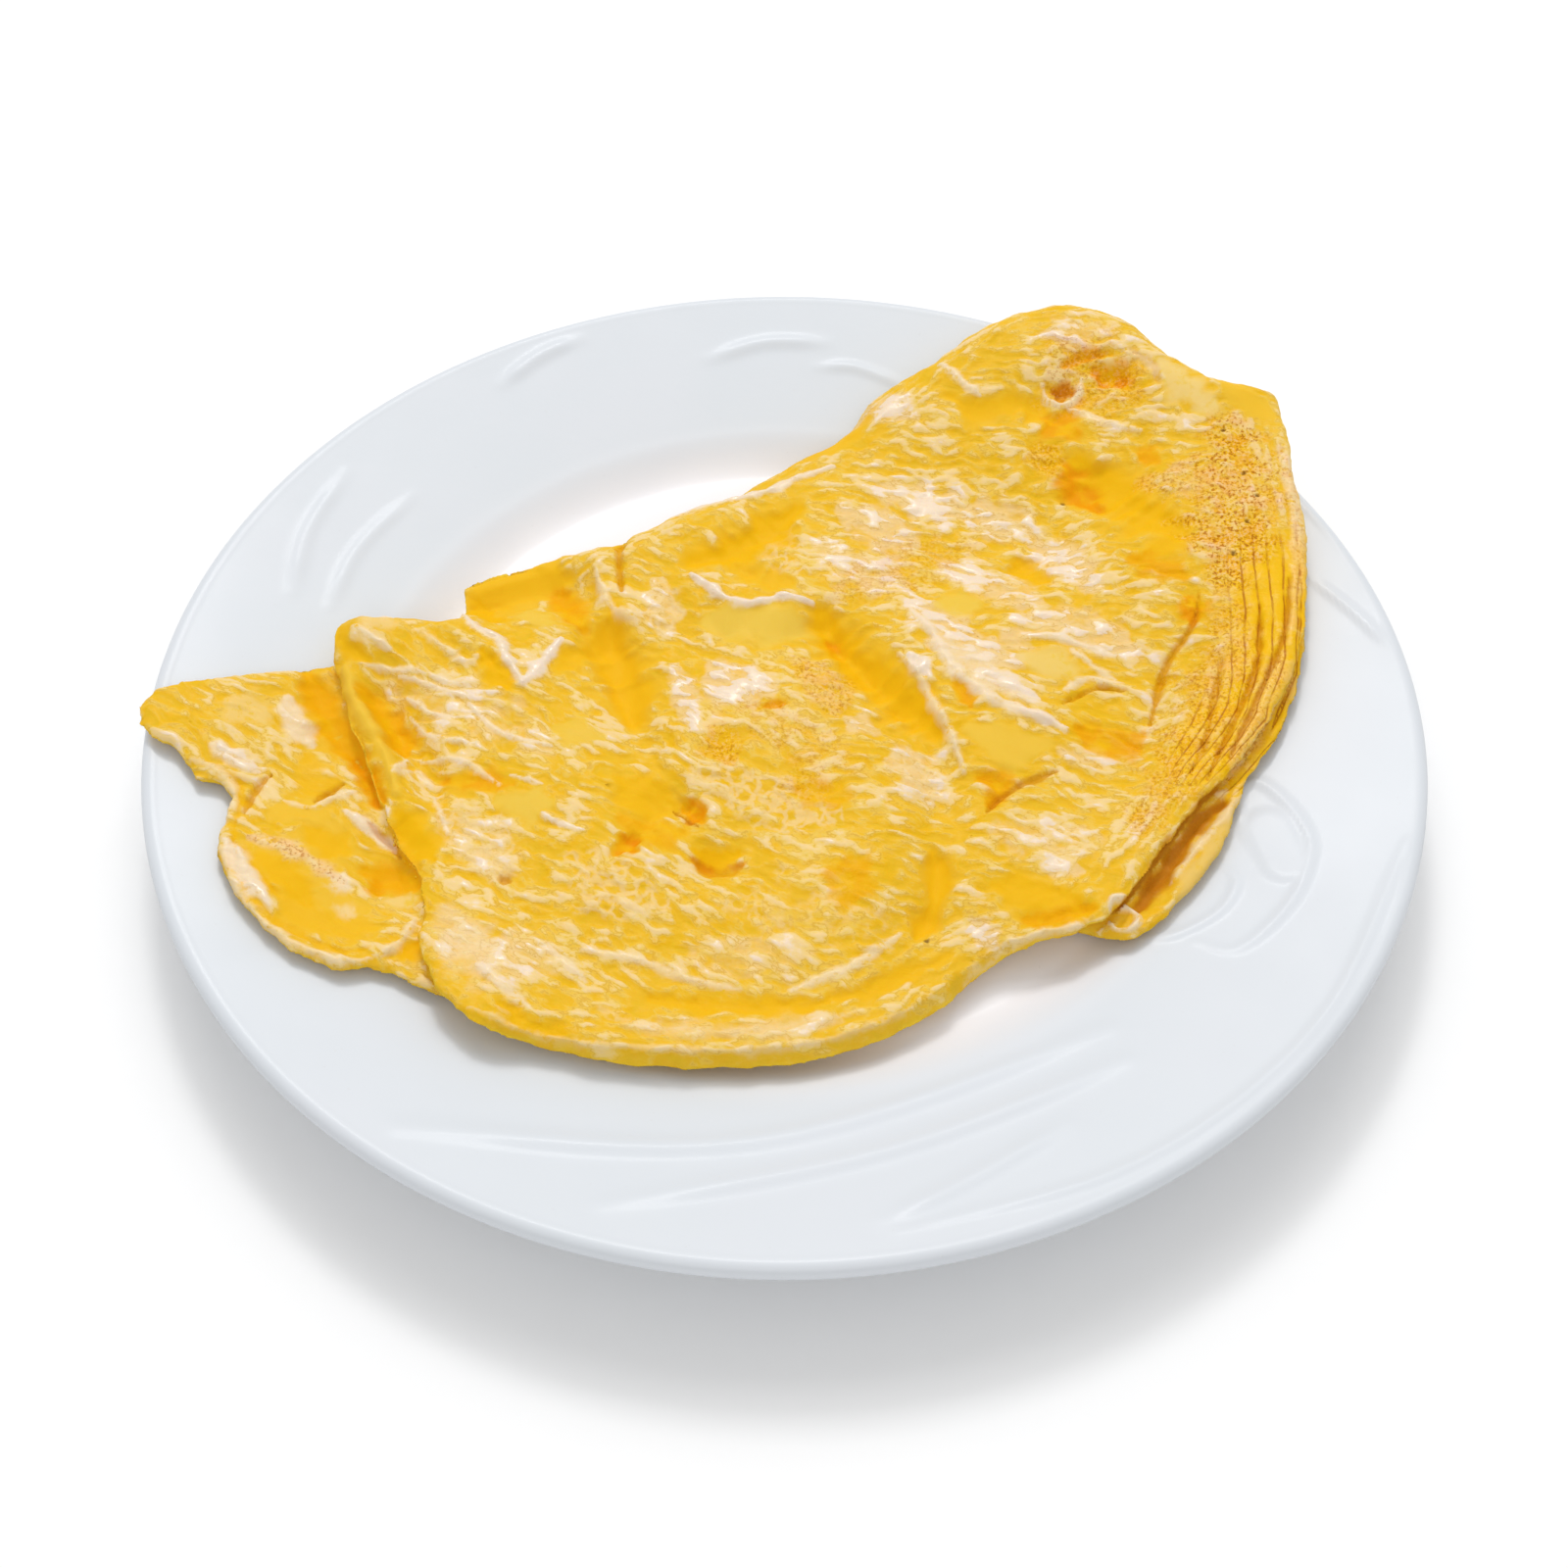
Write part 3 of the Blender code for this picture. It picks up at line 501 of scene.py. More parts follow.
# The raised lines, rims and rolled edges; their pale paint is partly pale egg and partly painted highlight.
CRESTS = {
    "left roll": ([(-91, 7), (-88, -2), (-83, -9), (-79, -18), (-77, -25)], 1.7, 0.8,
                  {FILM: 0.9, DEEP: 0.3}),
    "corner line": ([(-92, 26), (-87, 23), (-83, 21)], 1.0, 0.49, {WHITISH_STREAKS_AND_PAINTED_HIGHLIGHTS: 1.0, GLOSS_AND_PAINTED_GLINT: 0.8}),
    "corner ridge": ([(-90, 16), (-86, 13), (-82, 11)], 0.9, 0.56, {WHITISH_STREAKS_AND_PAINTED_HIGHLIGHTS: 1.0}),
    "corner edge line": ([(-88, 8), (-80, 7), (-71, 5), (-65, 3)], 0.7, 0.35, {WHITISH_STREAKS_AND_PAINTED_HIGHLIGHTS: 0.8}),
    "corner streak": ([(-76, 17), (-70, 12), (-66, 9)], 0.7, 0.35, {WHITISH_STREAKS_AND_PAINTED_HIGHLIGHTS: 0.5}),
    "left stroke high": ([(-80, 5.5), (-72, 3), (-65, 0)], 0.55, 0.4, {WHITISH_STREAKS_AND_PAINTED_HIGHLIGHTS: 0.8, GLOSS_AND_PAINTED_GLINT: 0.4}),
    "left stroke second": ([(-78, 1), (-71, -4), (-65, -5)], 0.55, 0.4, {WHITISH_STREAKS_AND_PAINTED_HIGHLIGHTS: 0.8, GLOSS_AND_PAINTED_GLINT: 0.4}),
    "left stroke long": ([(-65, -1), (-58, -9), (-47, -13)], 0.55, 0.4, {WHITISH_STREAKS_AND_PAINTED_HIGHLIGHTS: 0.8, GLOSS_AND_PAINTED_GLINT: 0.4}),
    "left stroke middle": ([(-77, -3), (-72, -9), (-62, -12)], 0.55, 0.4, {WHITISH_STREAKS_AND_PAINTED_HIGHLIGHTS: 0.9}),
    "left stroke low": ([(-74, -14), (-65, -16), (-57, -22)], 0.55, 0.4, {WHITISH_STREAKS_AND_PAINTED_HIGHLIGHTS: 0.8}),
    "left stroke short": ([(-78, -19), (-76, -14)], 0.55, 0.4, {WHITISH_STREAKS_AND_PAINTED_HIGHLIGHTS: 1.0}),
    "left stroke inner": ([(-55, -20), (-48, -23)], 0.55, 0.4, {WHITISH_STREAKS_AND_PAINTED_HIGHLIGHTS: 0.8, GLOSS_AND_PAINTED_GLINT: 0.4}),
    "left stroke bright": ([(-48, -30), (-44, -33), (-39, -35)], 0.55, 0.4, {WHITISH_STREAKS_AND_PAINTED_HIGHLIGHTS: 1.0, GLOSS_AND_PAINTED_GLINT: 0.6}),
    "left stroke down": ([(-70, -24), (-68, -29), (-66, -34)], 0.55, 0.4, {WHITISH_STREAKS_AND_PAINTED_HIGHLIGHTS: 0.8}),
    "pocket line": ([(-69, 26), (-65, 19), (-60, 16), (-58, 11), (-54, 3)], 1.1, 0.63,
                    {WHITISH_STREAKS_AND_PAINTED_HIGHLIGHTS: 0.8, GLOSS_AND_PAINTED_GLINT: 0.8}),
    "pocket fork": ([(-54, 3), (-51, 8), (-47, 17)], 1.3, 0.63, {WHITISH_STREAKS_AND_PAINTED_HIGHLIGHTS: 1.0, GLOSS_AND_PAINTED_GLINT: 1.0}),
    "pocket side": ([(-41, 38), (-39, 31), (-36, 26), (-31, 22)], 1.1, 0.63, {WHITISH_STREAKS_AND_PAINTED_HIGHLIGHTS: 0.7}),
    "patch edge": ([(-20, 35), (-17, 32), (-13, 28), (-7, 26), (-1, 28), (6, 27)], 1.1, 0.84,
                   {WHITISH_STREAKS_AND_PAINTED_HIGHLIGHTS: 1.0, GLOSS_AND_PAINTED_GLINT: 1.0}),
    "back line": ([(-24, 58), (-16, 59), (-4, 61), (4, 66), (11, 69)], 1.0, 0.49,
                  {WHITISH_STREAKS_AND_PAINTED_HIGHLIGHTS: 0.9, GLOSS_AND_PAINTED_GLINT: 0.7}),
    "middle ridge": ([(24, 12), (28, 5), (31, -3), (34, -11), (36, -19)], 1.0, 0.77, {WHITISH_STREAKS_AND_PAINTED_HIGHLIGHTS: 0.8}),
    "ridge head": ([(26, 11), (30, 5)], 1.6, 0.35, {WHITISH_STREAKS_AND_PAINTED_HIGHLIGHTS: 1.0, GLOSS_AND_PAINTED_GLINT: 1.0}),
    "glossy ridge": ([(27, 24), (31, 17), (34, 8), (41, 0), (47, -3.5), (57, -8)], 1.3, 0.6,
                     {WHITISH_STREAKS_AND_PAINTED_HIGHLIGHTS: 0.8, GLOSS_AND_PAINTED_GLINT: 0.6, FILM: 0.5}),
    "glossy streak": ([(42, 5.5), (47, 2.5), (52, -0.5)], 1.6, 0.4, {WHITISH_STREAKS_AND_PAINTED_HIGHLIGHTS: 1.0, GLOSS_AND_PAINTED_GLINT: 1.0}),
    "glossy streak low": ([(48.5, -4.3), (53.3, -6.2), (57.6, -7.3)], 1.2, 0.4, {WHITISH_STREAKS_AND_PAINTED_HIGHLIGHTS: 1.0, GLOSS_AND_PAINTED_GLINT: 1.0}),
    "front line": ([(-38, -62), (-27, -64), (-17, -68), (-8, -70)], 0.9, 0.42, {WHITISH_STREAKS_AND_PAINTED_HIGHLIGHTS: 0.7}),
    "front line right": ([(1, -70), (12, -65), (22, -57)], 1.0, 0.35, {WHITISH_STREAKS_AND_PAINTED_HIGHLIGHTS: 0.8}),
    "front streak": ([(-57, -67), (-52, -72), (-47, -76)], 1.1, 0.35, {WHITISH_STREAKS_AND_PAINTED_HIGHLIGHTS: 0.8}),
    "front streak in": ([(-47, -60), (-41, -65), (-37, -69)], 0.9, 0.35, {WHITISH_STREAKS_AND_PAINTED_HIGHLIGHTS: 0.8}),
    "front roll": ([(-34, -75), (-27, -79), (-16, -80.5), (0, -78.5), (14, -74)], 1.4, 0.28, {WHITISH_STREAKS_AND_PAINTED_HIGHLIGHTS: 0.3}),
    "front hem": ([(-58, -77), (-45, -81.5), (-28, -83.5), (-8, -83.5), (10, -80), (24, -73)], 0.6, 0.3,
                  {WHITISH_STREAKS_AND_PAINTED_HIGHLIGHTS: 0.4}),
    "tongue fold": ([(-114, -15), (-109, -18), (-105, -20)], 2.0, 0.49, {WHITISH_STREAKS_AND_PAINTED_HIGHLIGHTS: 0.5, GLOSS_AND_PAINTED_GLINT: 0.7}),
    "tongue rim": ([(-118, -19), (-111, -22), (-108.5, -27), (-109.5, -35)], 0.8, 0.35, {WHITISH_STREAKS_AND_PAINTED_HIGHLIGHTS: 0.6}),
    "lobe strip": ([(-108, -38.5), (-105, -44.5), (-101.5, -49), (-97.5, -53.5)], 1.9, 0.3,
                   {WHITISH_STREAKS_AND_PAINTED_HIGHLIGHTS: 0.9, GLOSS_AND_PAINTED_GLINT: 0.5}),
    "lobe rim": ([(-109, -40), (-104, -51), (-97, -59), (-89, -63.5), (-82, -65.5),
                  (-76, -63.5)], 0.8, 0.5, {WHITISH_STREAKS_AND_PAINTED_HIGHLIGHTS: 0.7}),
    "lobe lip": ([(-76, -64), (-72.5, -60), (-70.5, -54)], 1, 0.7, {WHITISH_STREAKS_AND_PAINTED_HIGHLIGHTS: 0.7}),
    "lobe ridge": ([(-87, -28), (-81.5, -32), (-76.5, -36.5)], 1.1, 0.42, {WHITISH_STREAKS_AND_PAINTED_HIGHLIGHTS: 0.9, GLOSS_AND_PAINTED_GLINT: 0.5}),
    "flap edge line": ([(-78, -20), (-74, -17), (-71, -21)], 0.9, 0.35, {WHITISH_STREAKS_AND_PAINTED_HIGHLIGHTS: 0.8}),
    "upper line": ([(36, 97), (41, 90), (45, 86)], 1, 0.56, {WHITISH_STREAKS_AND_PAINTED_HIGHLIGHTS: 1.0}),
    "crater ring": ([(59, 89), (60, 85), (64, 83.5), (67, 86), (68, 90)], 0.8, 0.63, {WHITISH_STREAKS_AND_PAINTED_HIGHLIGHTS: 0.9}),
    "crater tail": ([(64, 83), (70, 79), (75, 76), (80, 75)], 0.8, 0.49, {WHITISH_STREAKS_AND_PAINTED_HIGHLIGHTS: 0.8}),
    "end ridge": ([(77, 96), (82, 93), (86, 87)], 0.9, 0.49, {WHITISH_STREAKS_AND_PAINTED_HIGHLIGHTS: 0.6}),
    "crack lip": ([(58, 3), (63, 6), (70, 5)], 1, 0.35, {WHITISH_STREAKS_AND_PAINTED_HIGHLIGHTS: 0.9}),
    "right streak": ([(50, 18), (60, 16), (69, 12)], 0.9, 0.21, {WHITISH_STREAKS_AND_PAINTED_HIGHLIGHTS: 0.8}),
    "right streak low": ([(60, 14), (65, 9), (69, 6)], 0.9, 0.21, {WHITISH_STREAKS_AND_PAINTED_HIGHLIGHTS: 0.8}),
    "torn lip": ([(34, -66), (39, -62), (45, -58.5)], 1.1, 0.28, {WHITISH_STREAKS_AND_PAINTED_HIGHLIGHTS: 0.7}),
    "long lip": ([(38, -60), (48, -57.5), (57, -56)], 0.8, 0.28, {WHITISH_STREAKS_AND_PAINTED_HIGHLIGHTS: 0.6}),
    "curled drop": ([(61.9, -52.5), (62.8, -50.4), (65, -49.7), (67.4, -51), (67.9, -53.4),
                     (66, -55.2), (63.3, -54.8), (61.9, -52.5)], 0.75, 1.1, {WHITISH_STREAKS_AND_PAINTED_HIGHLIGHTS: 1.0, GLOSS_AND_PAINTED_GLINT: 0.3}),
    "lower leaf line": ([(75, -44), (80, -37), (86, -30), (91.5, -23)], 0.8, 0.4, {WHITISH_STREAKS_AND_PAINTED_HIGHLIGHTS: 0.7}),
}
# The smooth films, the glossy zones with a painted sheen, the lace of blisters and the fields of specks,
# which lie flat.
PATCHES = {
    "middle patch": ([(-16, 23), (-4, 21), (5, 21)], 5.0, 0.0, {FILM: 1.0}),
    "shelf patch": ([(50, 11), (59, 8)], 4.2, 0.2, {FILM: 1.0, WHITISH_STREAKS_AND_PAINTED_HIGHLIGHTS: 0.2}),
    "small patch": ([(33, 26), (40, 27)], 3.6, 0.1, {FILM: 0.9}),
    "low patch": ([(38, -9), (46, -13), (52, -12)], 4.0, 0.1, {FILM: 1.0, DEEP: 0.3}),
    "left patch": ([(-56, -27), (-47, -28)], 4.2, 0.1, {FILM: 0.9}),
    "inner patch": ([(-46, -8), (-37, -10)], 3.6, 0.1, {FILM: 0.7}),
    "pocket patch": ([(-57, 27), (-50, 22)], 3.0, 0.2, {FILM: 0.8}),
    "flap patch": ([(-64, -54), (-60, -62), (-54, -68)], 4.5, 0.1, {WHITISH_STREAKS_AND_PAINTED_HIGHLIGHTS: 0.3, GLOSS_AND_PAINTED_GLINT: 0.2}),
    "tongue film": ([(-113, -3), (-106, -6)], 4.6, 0.0, {FILM: 0.5, WHITISH_STREAKS_AND_PAINTED_HIGHLIGHTS: 0.3}),
    "tongue sheen": ([(-102, 0), (-100, -6), (-96, -11)], 2.6, 0.1, {WHITISH_STREAKS_AND_PAINTED_HIGHLIGHTS: 0.5, FILM: 0.3, GLOSS_AND_PAINTED_GLINT: 0.8}),
    "end film": ([(86, 92), (90, 85), (96, 78)], 3.6, 0.0, {FILM: 1.0, WHITISH_STREAKS_AND_PAINTED_HIGHLIGHTS: 0.25, GLOSS_AND_PAINTED_GLINT: 0.3}),
    "end flap": ([(100, 86), (104, 80), (108, 76)], 4.0, 0.0, {FILM: 1.0, DEEP: 0.6}),
    # The lower leaf is painted paler, as painted light against the shade of the flap above it.
    "lower leaf": ([(77, -48), (84, -38), (90, -28)], 3.0, 0.0, {FILM: 1.0, WHITISH_STREAKS_AND_PAINTED_HIGHLIGHTS: 0.2, BROWNING_AND_SHADE: 0.15}),
    "lobe film": ([(-100, -30), (-92, -30), (-88, -48), (-82, -52)], 4.0, 0.0, {FILM: 0.8, DEEP: 0.5}),
    "bright shine": ([(-14, 9), (-10, 4), (-4, 3)], 5.5, 0.0, {GLOSS_AND_PAINTED_GLINT: 1.0}),
    "bright shine side": ([(-23, 10), (-20, 0), (-19, -9)], 2.4, 0.0, {GLOSS_AND_PAINTED_GLINT: 0.9}),
    "left shine": ([(-80, 5), (-67, -1), (-56, -7), (-49, -13)], 6.0, 0.0, {GLOSS_AND_PAINTED_GLINT: 0.4}),
    "flap shine": ([(-67, -30), (-58, -37), (-55, -44)], 6.0, 0.0, {GLOSS_AND_PAINTED_GLINT: 0.4, LACE: 0.8}),
    "front left shine": ([(-62, -60), (-54, -65), (-46, -66)], 6.5, 0.0, {GLOSS_AND_PAINTED_GLINT: 0.5}),
    "front shine": ([(-16, -63), (-8, -63), (4, -62)], 6.0, 0.0, {GLOSS_AND_PAINTED_GLINT: 0.4}),
    "patch lace": ([(-27, 34), (-25, 20)], 4.0, 0.0, {GLOSS_AND_PAINTED_GLINT: 0.5, LACE: 0.9}),
    "back shine": ([(-26, 55), (-18, 60)], 3.4, 0.0, {GLOSS_AND_PAINTED_GLINT: 0.6}),
    "ridge shine": ([(28, 26), (38, 14), (47, 10)], 5.0, 0.0, {GLOSS_AND_PAINTED_GLINT: 0.9}),
    "shelf shine": ([(50, 23), (64, 19), (73, 13)], 5.0, 0.0, {GLOSS_AND_PAINTED_GLINT: 0.65}),
    "centre shine": ([(8, 44), (15, 38), (25, 33)], 6.0, 0.0, {GLOSS_AND_PAINTED_GLINT: 0.6}),
    "middle shine": ([(36, 38), (44, 33), (56, 26)], 4.5, 0.0, {GLOSS_AND_PAINTED_GLINT: 0.65}),
    "long shine": ([(21, 62), (34, 58), (47, 54), (56, 50)], 5.5, 0.0, {GLOSS_AND_PAINTED_GLINT: 0.65}),
    "dip shine": ([(55, 48), (61, 40), (66, 31)], 5.0, 0.0, {GLOSS_AND_PAINTED_GLINT: 0.7}),
    "upper shine": ([(14, 82), (21, 87), (30, 82)], 4.0, 0.0, {GLOSS_AND_PAINTED_GLINT: 0.7}),
    "top shine": ([(60, 101), (72, 102)], 4.0, 0.0, {GLOSS_AND_PAINTED_GLINT: 0.6}),
    "end shine": ([(80, 60), (92, 57), (104, 55)], 5.0, 0.0, {GLOSS_AND_PAINTED_GLINT: 0.4, SPECK: 0.6}),
    "valley shine": ([(24, -14), (29, -26)], 5.0, 0.0, {GLOSS_AND_PAINTED_GLINT: 0.6, LACE: 0.8}),
    "low shine": ([(42, -33), (52, -36), (60, -35)], 6.0, 0.0, {GLOSS_AND_PAINTED_GLINT: 0.4, LACE: 0.4}),
    "field glow": ([(14, 54), (20, 50), (28, 46)], 6.5, 0.0, {GLOSS_AND_PAINTED_GLINT: 0.75}),
    "above the ridge": ([(46, 18), (51, 14)], 4.0, 0.0, {GLOSS_AND_PAINTED_GLINT: 0.6}),
    "band shine": ([(-24, -78), (-8, -79), (10, -76)], 3.0, 0.0, {GLOSS_AND_PAINTED_GLINT: 0.35}),
    "lower shine": ([(50, -42), (58, -43)], 2.8, 0.0, {GLOSS_AND_PAINTED_GLINT: 0.7}),
    "torn shine": ([(36, -54), (40, -59)], 2.8, 0.0, {GLOSS_AND_PAINTED_GLINT: 0.7}),
    "crack shine": ([(56, -13), (66, -15)], 3.0, 0.0, {GLOSS_AND_PAINTED_GLINT: 0.5}),
    "shoulder shine": ([(95, 18), (91, 6), (86, -4)], 2.6, 0.0, {GLOSS_AND_PAINTED_GLINT: 0.5}),
    "field shine": ([(13, -6), (18, -9)], 2.6, 0.0, {GLOSS_AND_PAINTED_GLINT: 0.7}),
    "pit lace": ([(-16, -20), (-4, -26), (8, -30)], 7.0, 0.0, {LACE: 0.9}),
    "corner film": ([(-88, 20), (-84, 18)], 4.0, 0.0, {FILM: 0.4, WHITISH_STREAKS_AND_PAINTED_HIGHLIGHTS: 0.4}),
    "left lace": ([(-42, -42), (-34, -48), (-24, -52)], 6.0, 0.0, {LACE: 0.8}),
    "middle lace": ([(3, 10), (8, 4), (10, -4)], 5.0, 0.0, {LACE: 0.7, SPECK: 0.6, DEEP: 0.4}),
    "back lace": ([(2, 50), (-2, 42), (4, 36)], 4.5, 0.0, {LACE: 0.8}),
    "front lace": ([(-10, -50), (4, -52), (18, -54)], 8.0, 0.0, {LACE: 0.4}),
    "shoulder specks": ([(100, 72), (99, 58), (97, 44), (94, 30)], 9.0, 0.0, {SPECK: 1.0, DEEP: 0.3}),
    "layer specks": ([(94, 20), (90, 4), (82, -14), (70, -32)], 7.0, 0.0, {SPECK: 0.6}),
    "top specks": ([(62, 98), (70, 90), (80, 84)], 7.5, 0.0, {SPECK: 0.5}),
    "field specks": ([(-8, -4), (6, -14), (2, -26)], 6.0, 0.0, {SPECK: 0.35}),
    "upper specks": ([(40, 46), (26, 38), (12, 30)], 6.0, 0.0, {SPECK: 0.35}),
}
# Smaller marks on the lobe, at the right rim and beside the glossy ridge.
SMALL_MARKS = {
    "lobe low left": ([(-101, -42), (-95, -47), (-91, -52)], 3.0, -0.5, {DEEP: 0.95, FILM: 0.8}),
    "lobe stain": ([(-79, -44), (-79, -48)], 2.2, -0.3, {DEEP: 1.0, STAIN: 0.5}),
    "lobe fold line": ([(-93.5, -26.5), (-90.3, -22.7), (-88.5, -20.8)], 0.65, -0.9,
                       {DEEP: 0.8, BROWNING_AND_SHADE: 0.5}),
    "lobe fold": ([(-93, -28.2), (-90, -25.2), (-86, -22.8)], 1.0, 0.6, {WHITISH_STREAKS_AND_PAINTED_HIGHLIGHTS: 0.8}),
    "lobe fold end": ([(-99, -26.7), (-95, -28), (-92.7, -27.6)], 0.8, 0.4, {WHITISH_STREAKS_AND_PAINTED_HIGHLIGHTS: 0.7}),
    "lobe speckle": ([(-104, -37.5), (-98, -38.5), (-91, -42), (-85, -46)], 1.5, 0.3,
                     {WHITISH_STREAKS_AND_PAINTED_HIGHLIGHTS: 0.6, SPECK: 0.7}),
    "lobe spot": ([(-88, -44.5), (-84, -47)], 1.7, 0.1, {WHITISH_STREAKS_AND_PAINTED_HIGHLIGHTS: 0.7, GLOSS_AND_PAINTED_GLINT: 0.4}),
    "lobe spot low": ([(-85, -52), (-82, -53.5)], 2.0, 0.1, {WHITISH_STREAKS_AND_PAINTED_HIGHLIGHTS: 0.5}),
    "lobe film right": ([(-76, -49.5), (-71, -49)], 1.9, 0.0, {FILM: 0.9, WHITISH_STREAKS_AND_PAINTED_HIGHLIGHTS: 0.3}),
    "gap drop": ([(86, -22.8), (88.7, -22)], 0.9, 0.5, {WHITISH_STREAKS_AND_PAINTED_HIGHLIGHTS: 1.0}),
    "right rim": ([(109.5, 66), (111, 55), (110.5, 42), (108.5, 28), (105.5, 15)], 1.5, 0.2,
                  {WHITISH_STREAKS_AND_PAINTED_HIGHLIGHTS: 0.7, SPECK: 0.4}),
    "speckled rim": ([(103, 9), (98.5, -1), (94, -10), (89.5, -18)], 2.0, 0.1, {WHITISH_STREAKS_AND_PAINTED_HIGHLIGHTS: 0.5, SPECK: 0.6}),
    "glossy band": ([(32, 16), (38, 9), (44, 4), (50, -1)], 3.2, 0.15,
                    {GLOSS_AND_PAINTED_GLINT: 0.9, WHITISH_STREAKS_AND_PAINTED_HIGHLIGHTS: 0.35, FILM: 0.3}),
}
# Finishes on the cut side of the sheet, below its upper skin: the path, the half width and the finishes.
EDGE_MARKS = {
    # The gap's brown on the flap's cut side is painted shade under its lip, with some browning.
    "gap": ([(66, -51), (73, -41), (78, -33.5), (83, -27), (88, -23)], 2.6, {BROWNING_AND_SHADE: 1.0}),
    "speckled side": ([(104, 9), (99.6, 1.5), (97, -8), (92.5, -15), (90, -19)], 2.4,
                      {WHITISH_STREAKS_AND_PAINTED_HIGHLIGHTS: 0.7, SPECK: 0.6}),
    "right side": ([(110, 67), (113, 58), (113, 42), (111, 28), (107.5, 15)], 2.0, {WHITISH_STREAKS_AND_PAINTED_HIGHLIGHTS: 0.7}),
    "leaf side": ([(74, -53), (84, -42), (92, -30), (95, -20)], 3.0, {WHITISH_STREAKS_AND_PAINTED_HIGHLIGHTS: 0.35, FILM: 0.6}),
}
PEPPERCORNS = [(101, 59), (100, 45), (96, 36), (98, 72), (103, 52), (27, -58), (62, 58)]
PEPPER_RADIUS = 0.5
PEPPER_DEPTH = 0.4

PATH_STEPS = 4  # points on each stretch of a mark's path
BLISTER_SIZE = 2.3
BLISTER_HEIGHT = 0.2
WRINKLE_HEIGHT = 0.9
GROOVE_DEPTH = 0.35  # between the layers
SWELL_SIZE = 6.0
SWELL_HEIGHT = 0.4
SIDE_RELIEF = 0.25
EDGE_WANDER = 0.8
EDGE_RIPPLE = 0.25
UNDERCUT_SLOPE = 0.4  # how far the edge is drawn in, for each millimetre down from UNDERCUT_TOP
UNDERCUT_TOP = 3  # above the plate
LIP_LIFT = 1.8
LIP_REACH = 8  # in from the lips' edge
LIP_TOP = 3.2  # above the plate
BOX_MARGIN = 0.05  # inside the CAD's box

places = vertices_of(omelette)
count = len(places)
normals = np.empty(count * 3, np.float32)
omelette.data.vertex_normals.foreach_get("vector", normals)
normals = normals.reshape(-1, 3).astype(float)
upward = ease((normals[:, 2] - 0.1) / 0.5)

bpy.context.view_layer.update()
surface = BVHTree.FromObject(omelette, bpy.context.evaluated_depsgraph_get())
for index in np.flatnonzero(upward > 0):
    start = Vector((places[index] + normals[index]) * MM)
    if surface.ray_cast(start, Vector((0, 0, 1)))[0] is not None:
        upward[index] = 0  # it lies under the fold

plan = places[:, :2]
x, y, z = places.T
breadth = 1 + 0.15 * lumps(x / 1.7, y / 1.7, 4)
breadth += 0.45 * lumps(x / 3.6, y / 3.6, 5)
breadth += 0.4 * lumps(x / 8, y / 8, 6)
finishes = np.zeros((len(FINISHES), count))
relief = np.zeros(count)
marks = [*HOLLOWS.values(), *CRESTS.values(), *PATCHES.values(), *SMALL_MARKS.values()]
for number, (path, half_width, height, shows) in enumerate(marks):
    line = smooth_path(path, PATH_STEPS)
    inside = (plan > line.min(axis=0) - 3 * half_width) & (plan < line.max(axis=0) + 3 * half_width)
    near = np.flatnonzero(inside.all(axis=1) & (upward > 0))
    away, station = distance_to(plan[near], line)
    length = np.linalg.norm(np.diff(line, axis=0), axis=1).sum()
    taper = ease(station / (0.3 * length) + 0.15) * ease((length - station) / (0.3 * length) + 0.15)
    beads = lumps(station / 3.7, number * 3.3, 7)
    swell = np.clip((0.4 + 0.6 * taper) * (1 + 0.9 * beads) * breadth[near], 0.2, 2)
    away /= half_width * swell
    relief[near] += height * np.clip(0.4 + 0.8 * swell, 0, 1.2) * np.exp(-away**2)
    for finish, share in shows.items():
        finishes[finish, near] = np.maximum(finishes[finish, near], share * ease((1.5 - away) / 1.0))
for spot in PEPPERCORNS:
    away = np.hypot(x - spot[0], y - spot[1]) / PEPPER_RADIUS
    relief -= PEPPER_DEPTH * np.exp(-away**2)
    finishes[PEPPER] = np.maximum(finishes[PEPPER], ease((1.5 - away) / 0.9))

# Wrinkles run with the sheet: a little down to the right in the middle, with the fold along the back, and
# with the lips round the front and the right.
LEFT_WRINKLES = -27  # degrees in plan
RIGHT_WRINKLES = -10
TURN_START = -12  # where along x the wrinkles begin to turn from one direction to the other
TURN_END = 18
END_FADE = 16  # over this length the wrinkles beside an edge begin and end
LIP_PATH = [(-69, -56), (-60, -76), (-25, -86), (12, -81), (35, -65), (59, -56), (81, -28), (106, 7),
            (112, 86)]
BACK_PATH = [(-95, 20), (-69, 30), (-24, 58), (14, 82), (48, 111), (66, 115)]
from_lip, lip_station = distance_to(plan, smooth_path(LIP_PATH, 3))
from_back, back_station = distance_to(plan, smooth_path(BACK_PATH, 3))

# At the right, within this stretch of the lip, the rolled edges of the sheet's layers show as long lines,
# which close up at the front.
layered = ease((x - 74) / 8) * ease((46 - y) / 14) * ease((17 - from_lip) / 5) * ease((y + 27) / 9)
layer = (from_lip + 1.6 * lumps(x / 14, y / 14, 64)) / (1.3 + 1.7 * ease((y + 28) / 55))
groove = ease((np.abs(layer % 1 - 0.5) - 0.3) / 0.2) * layered

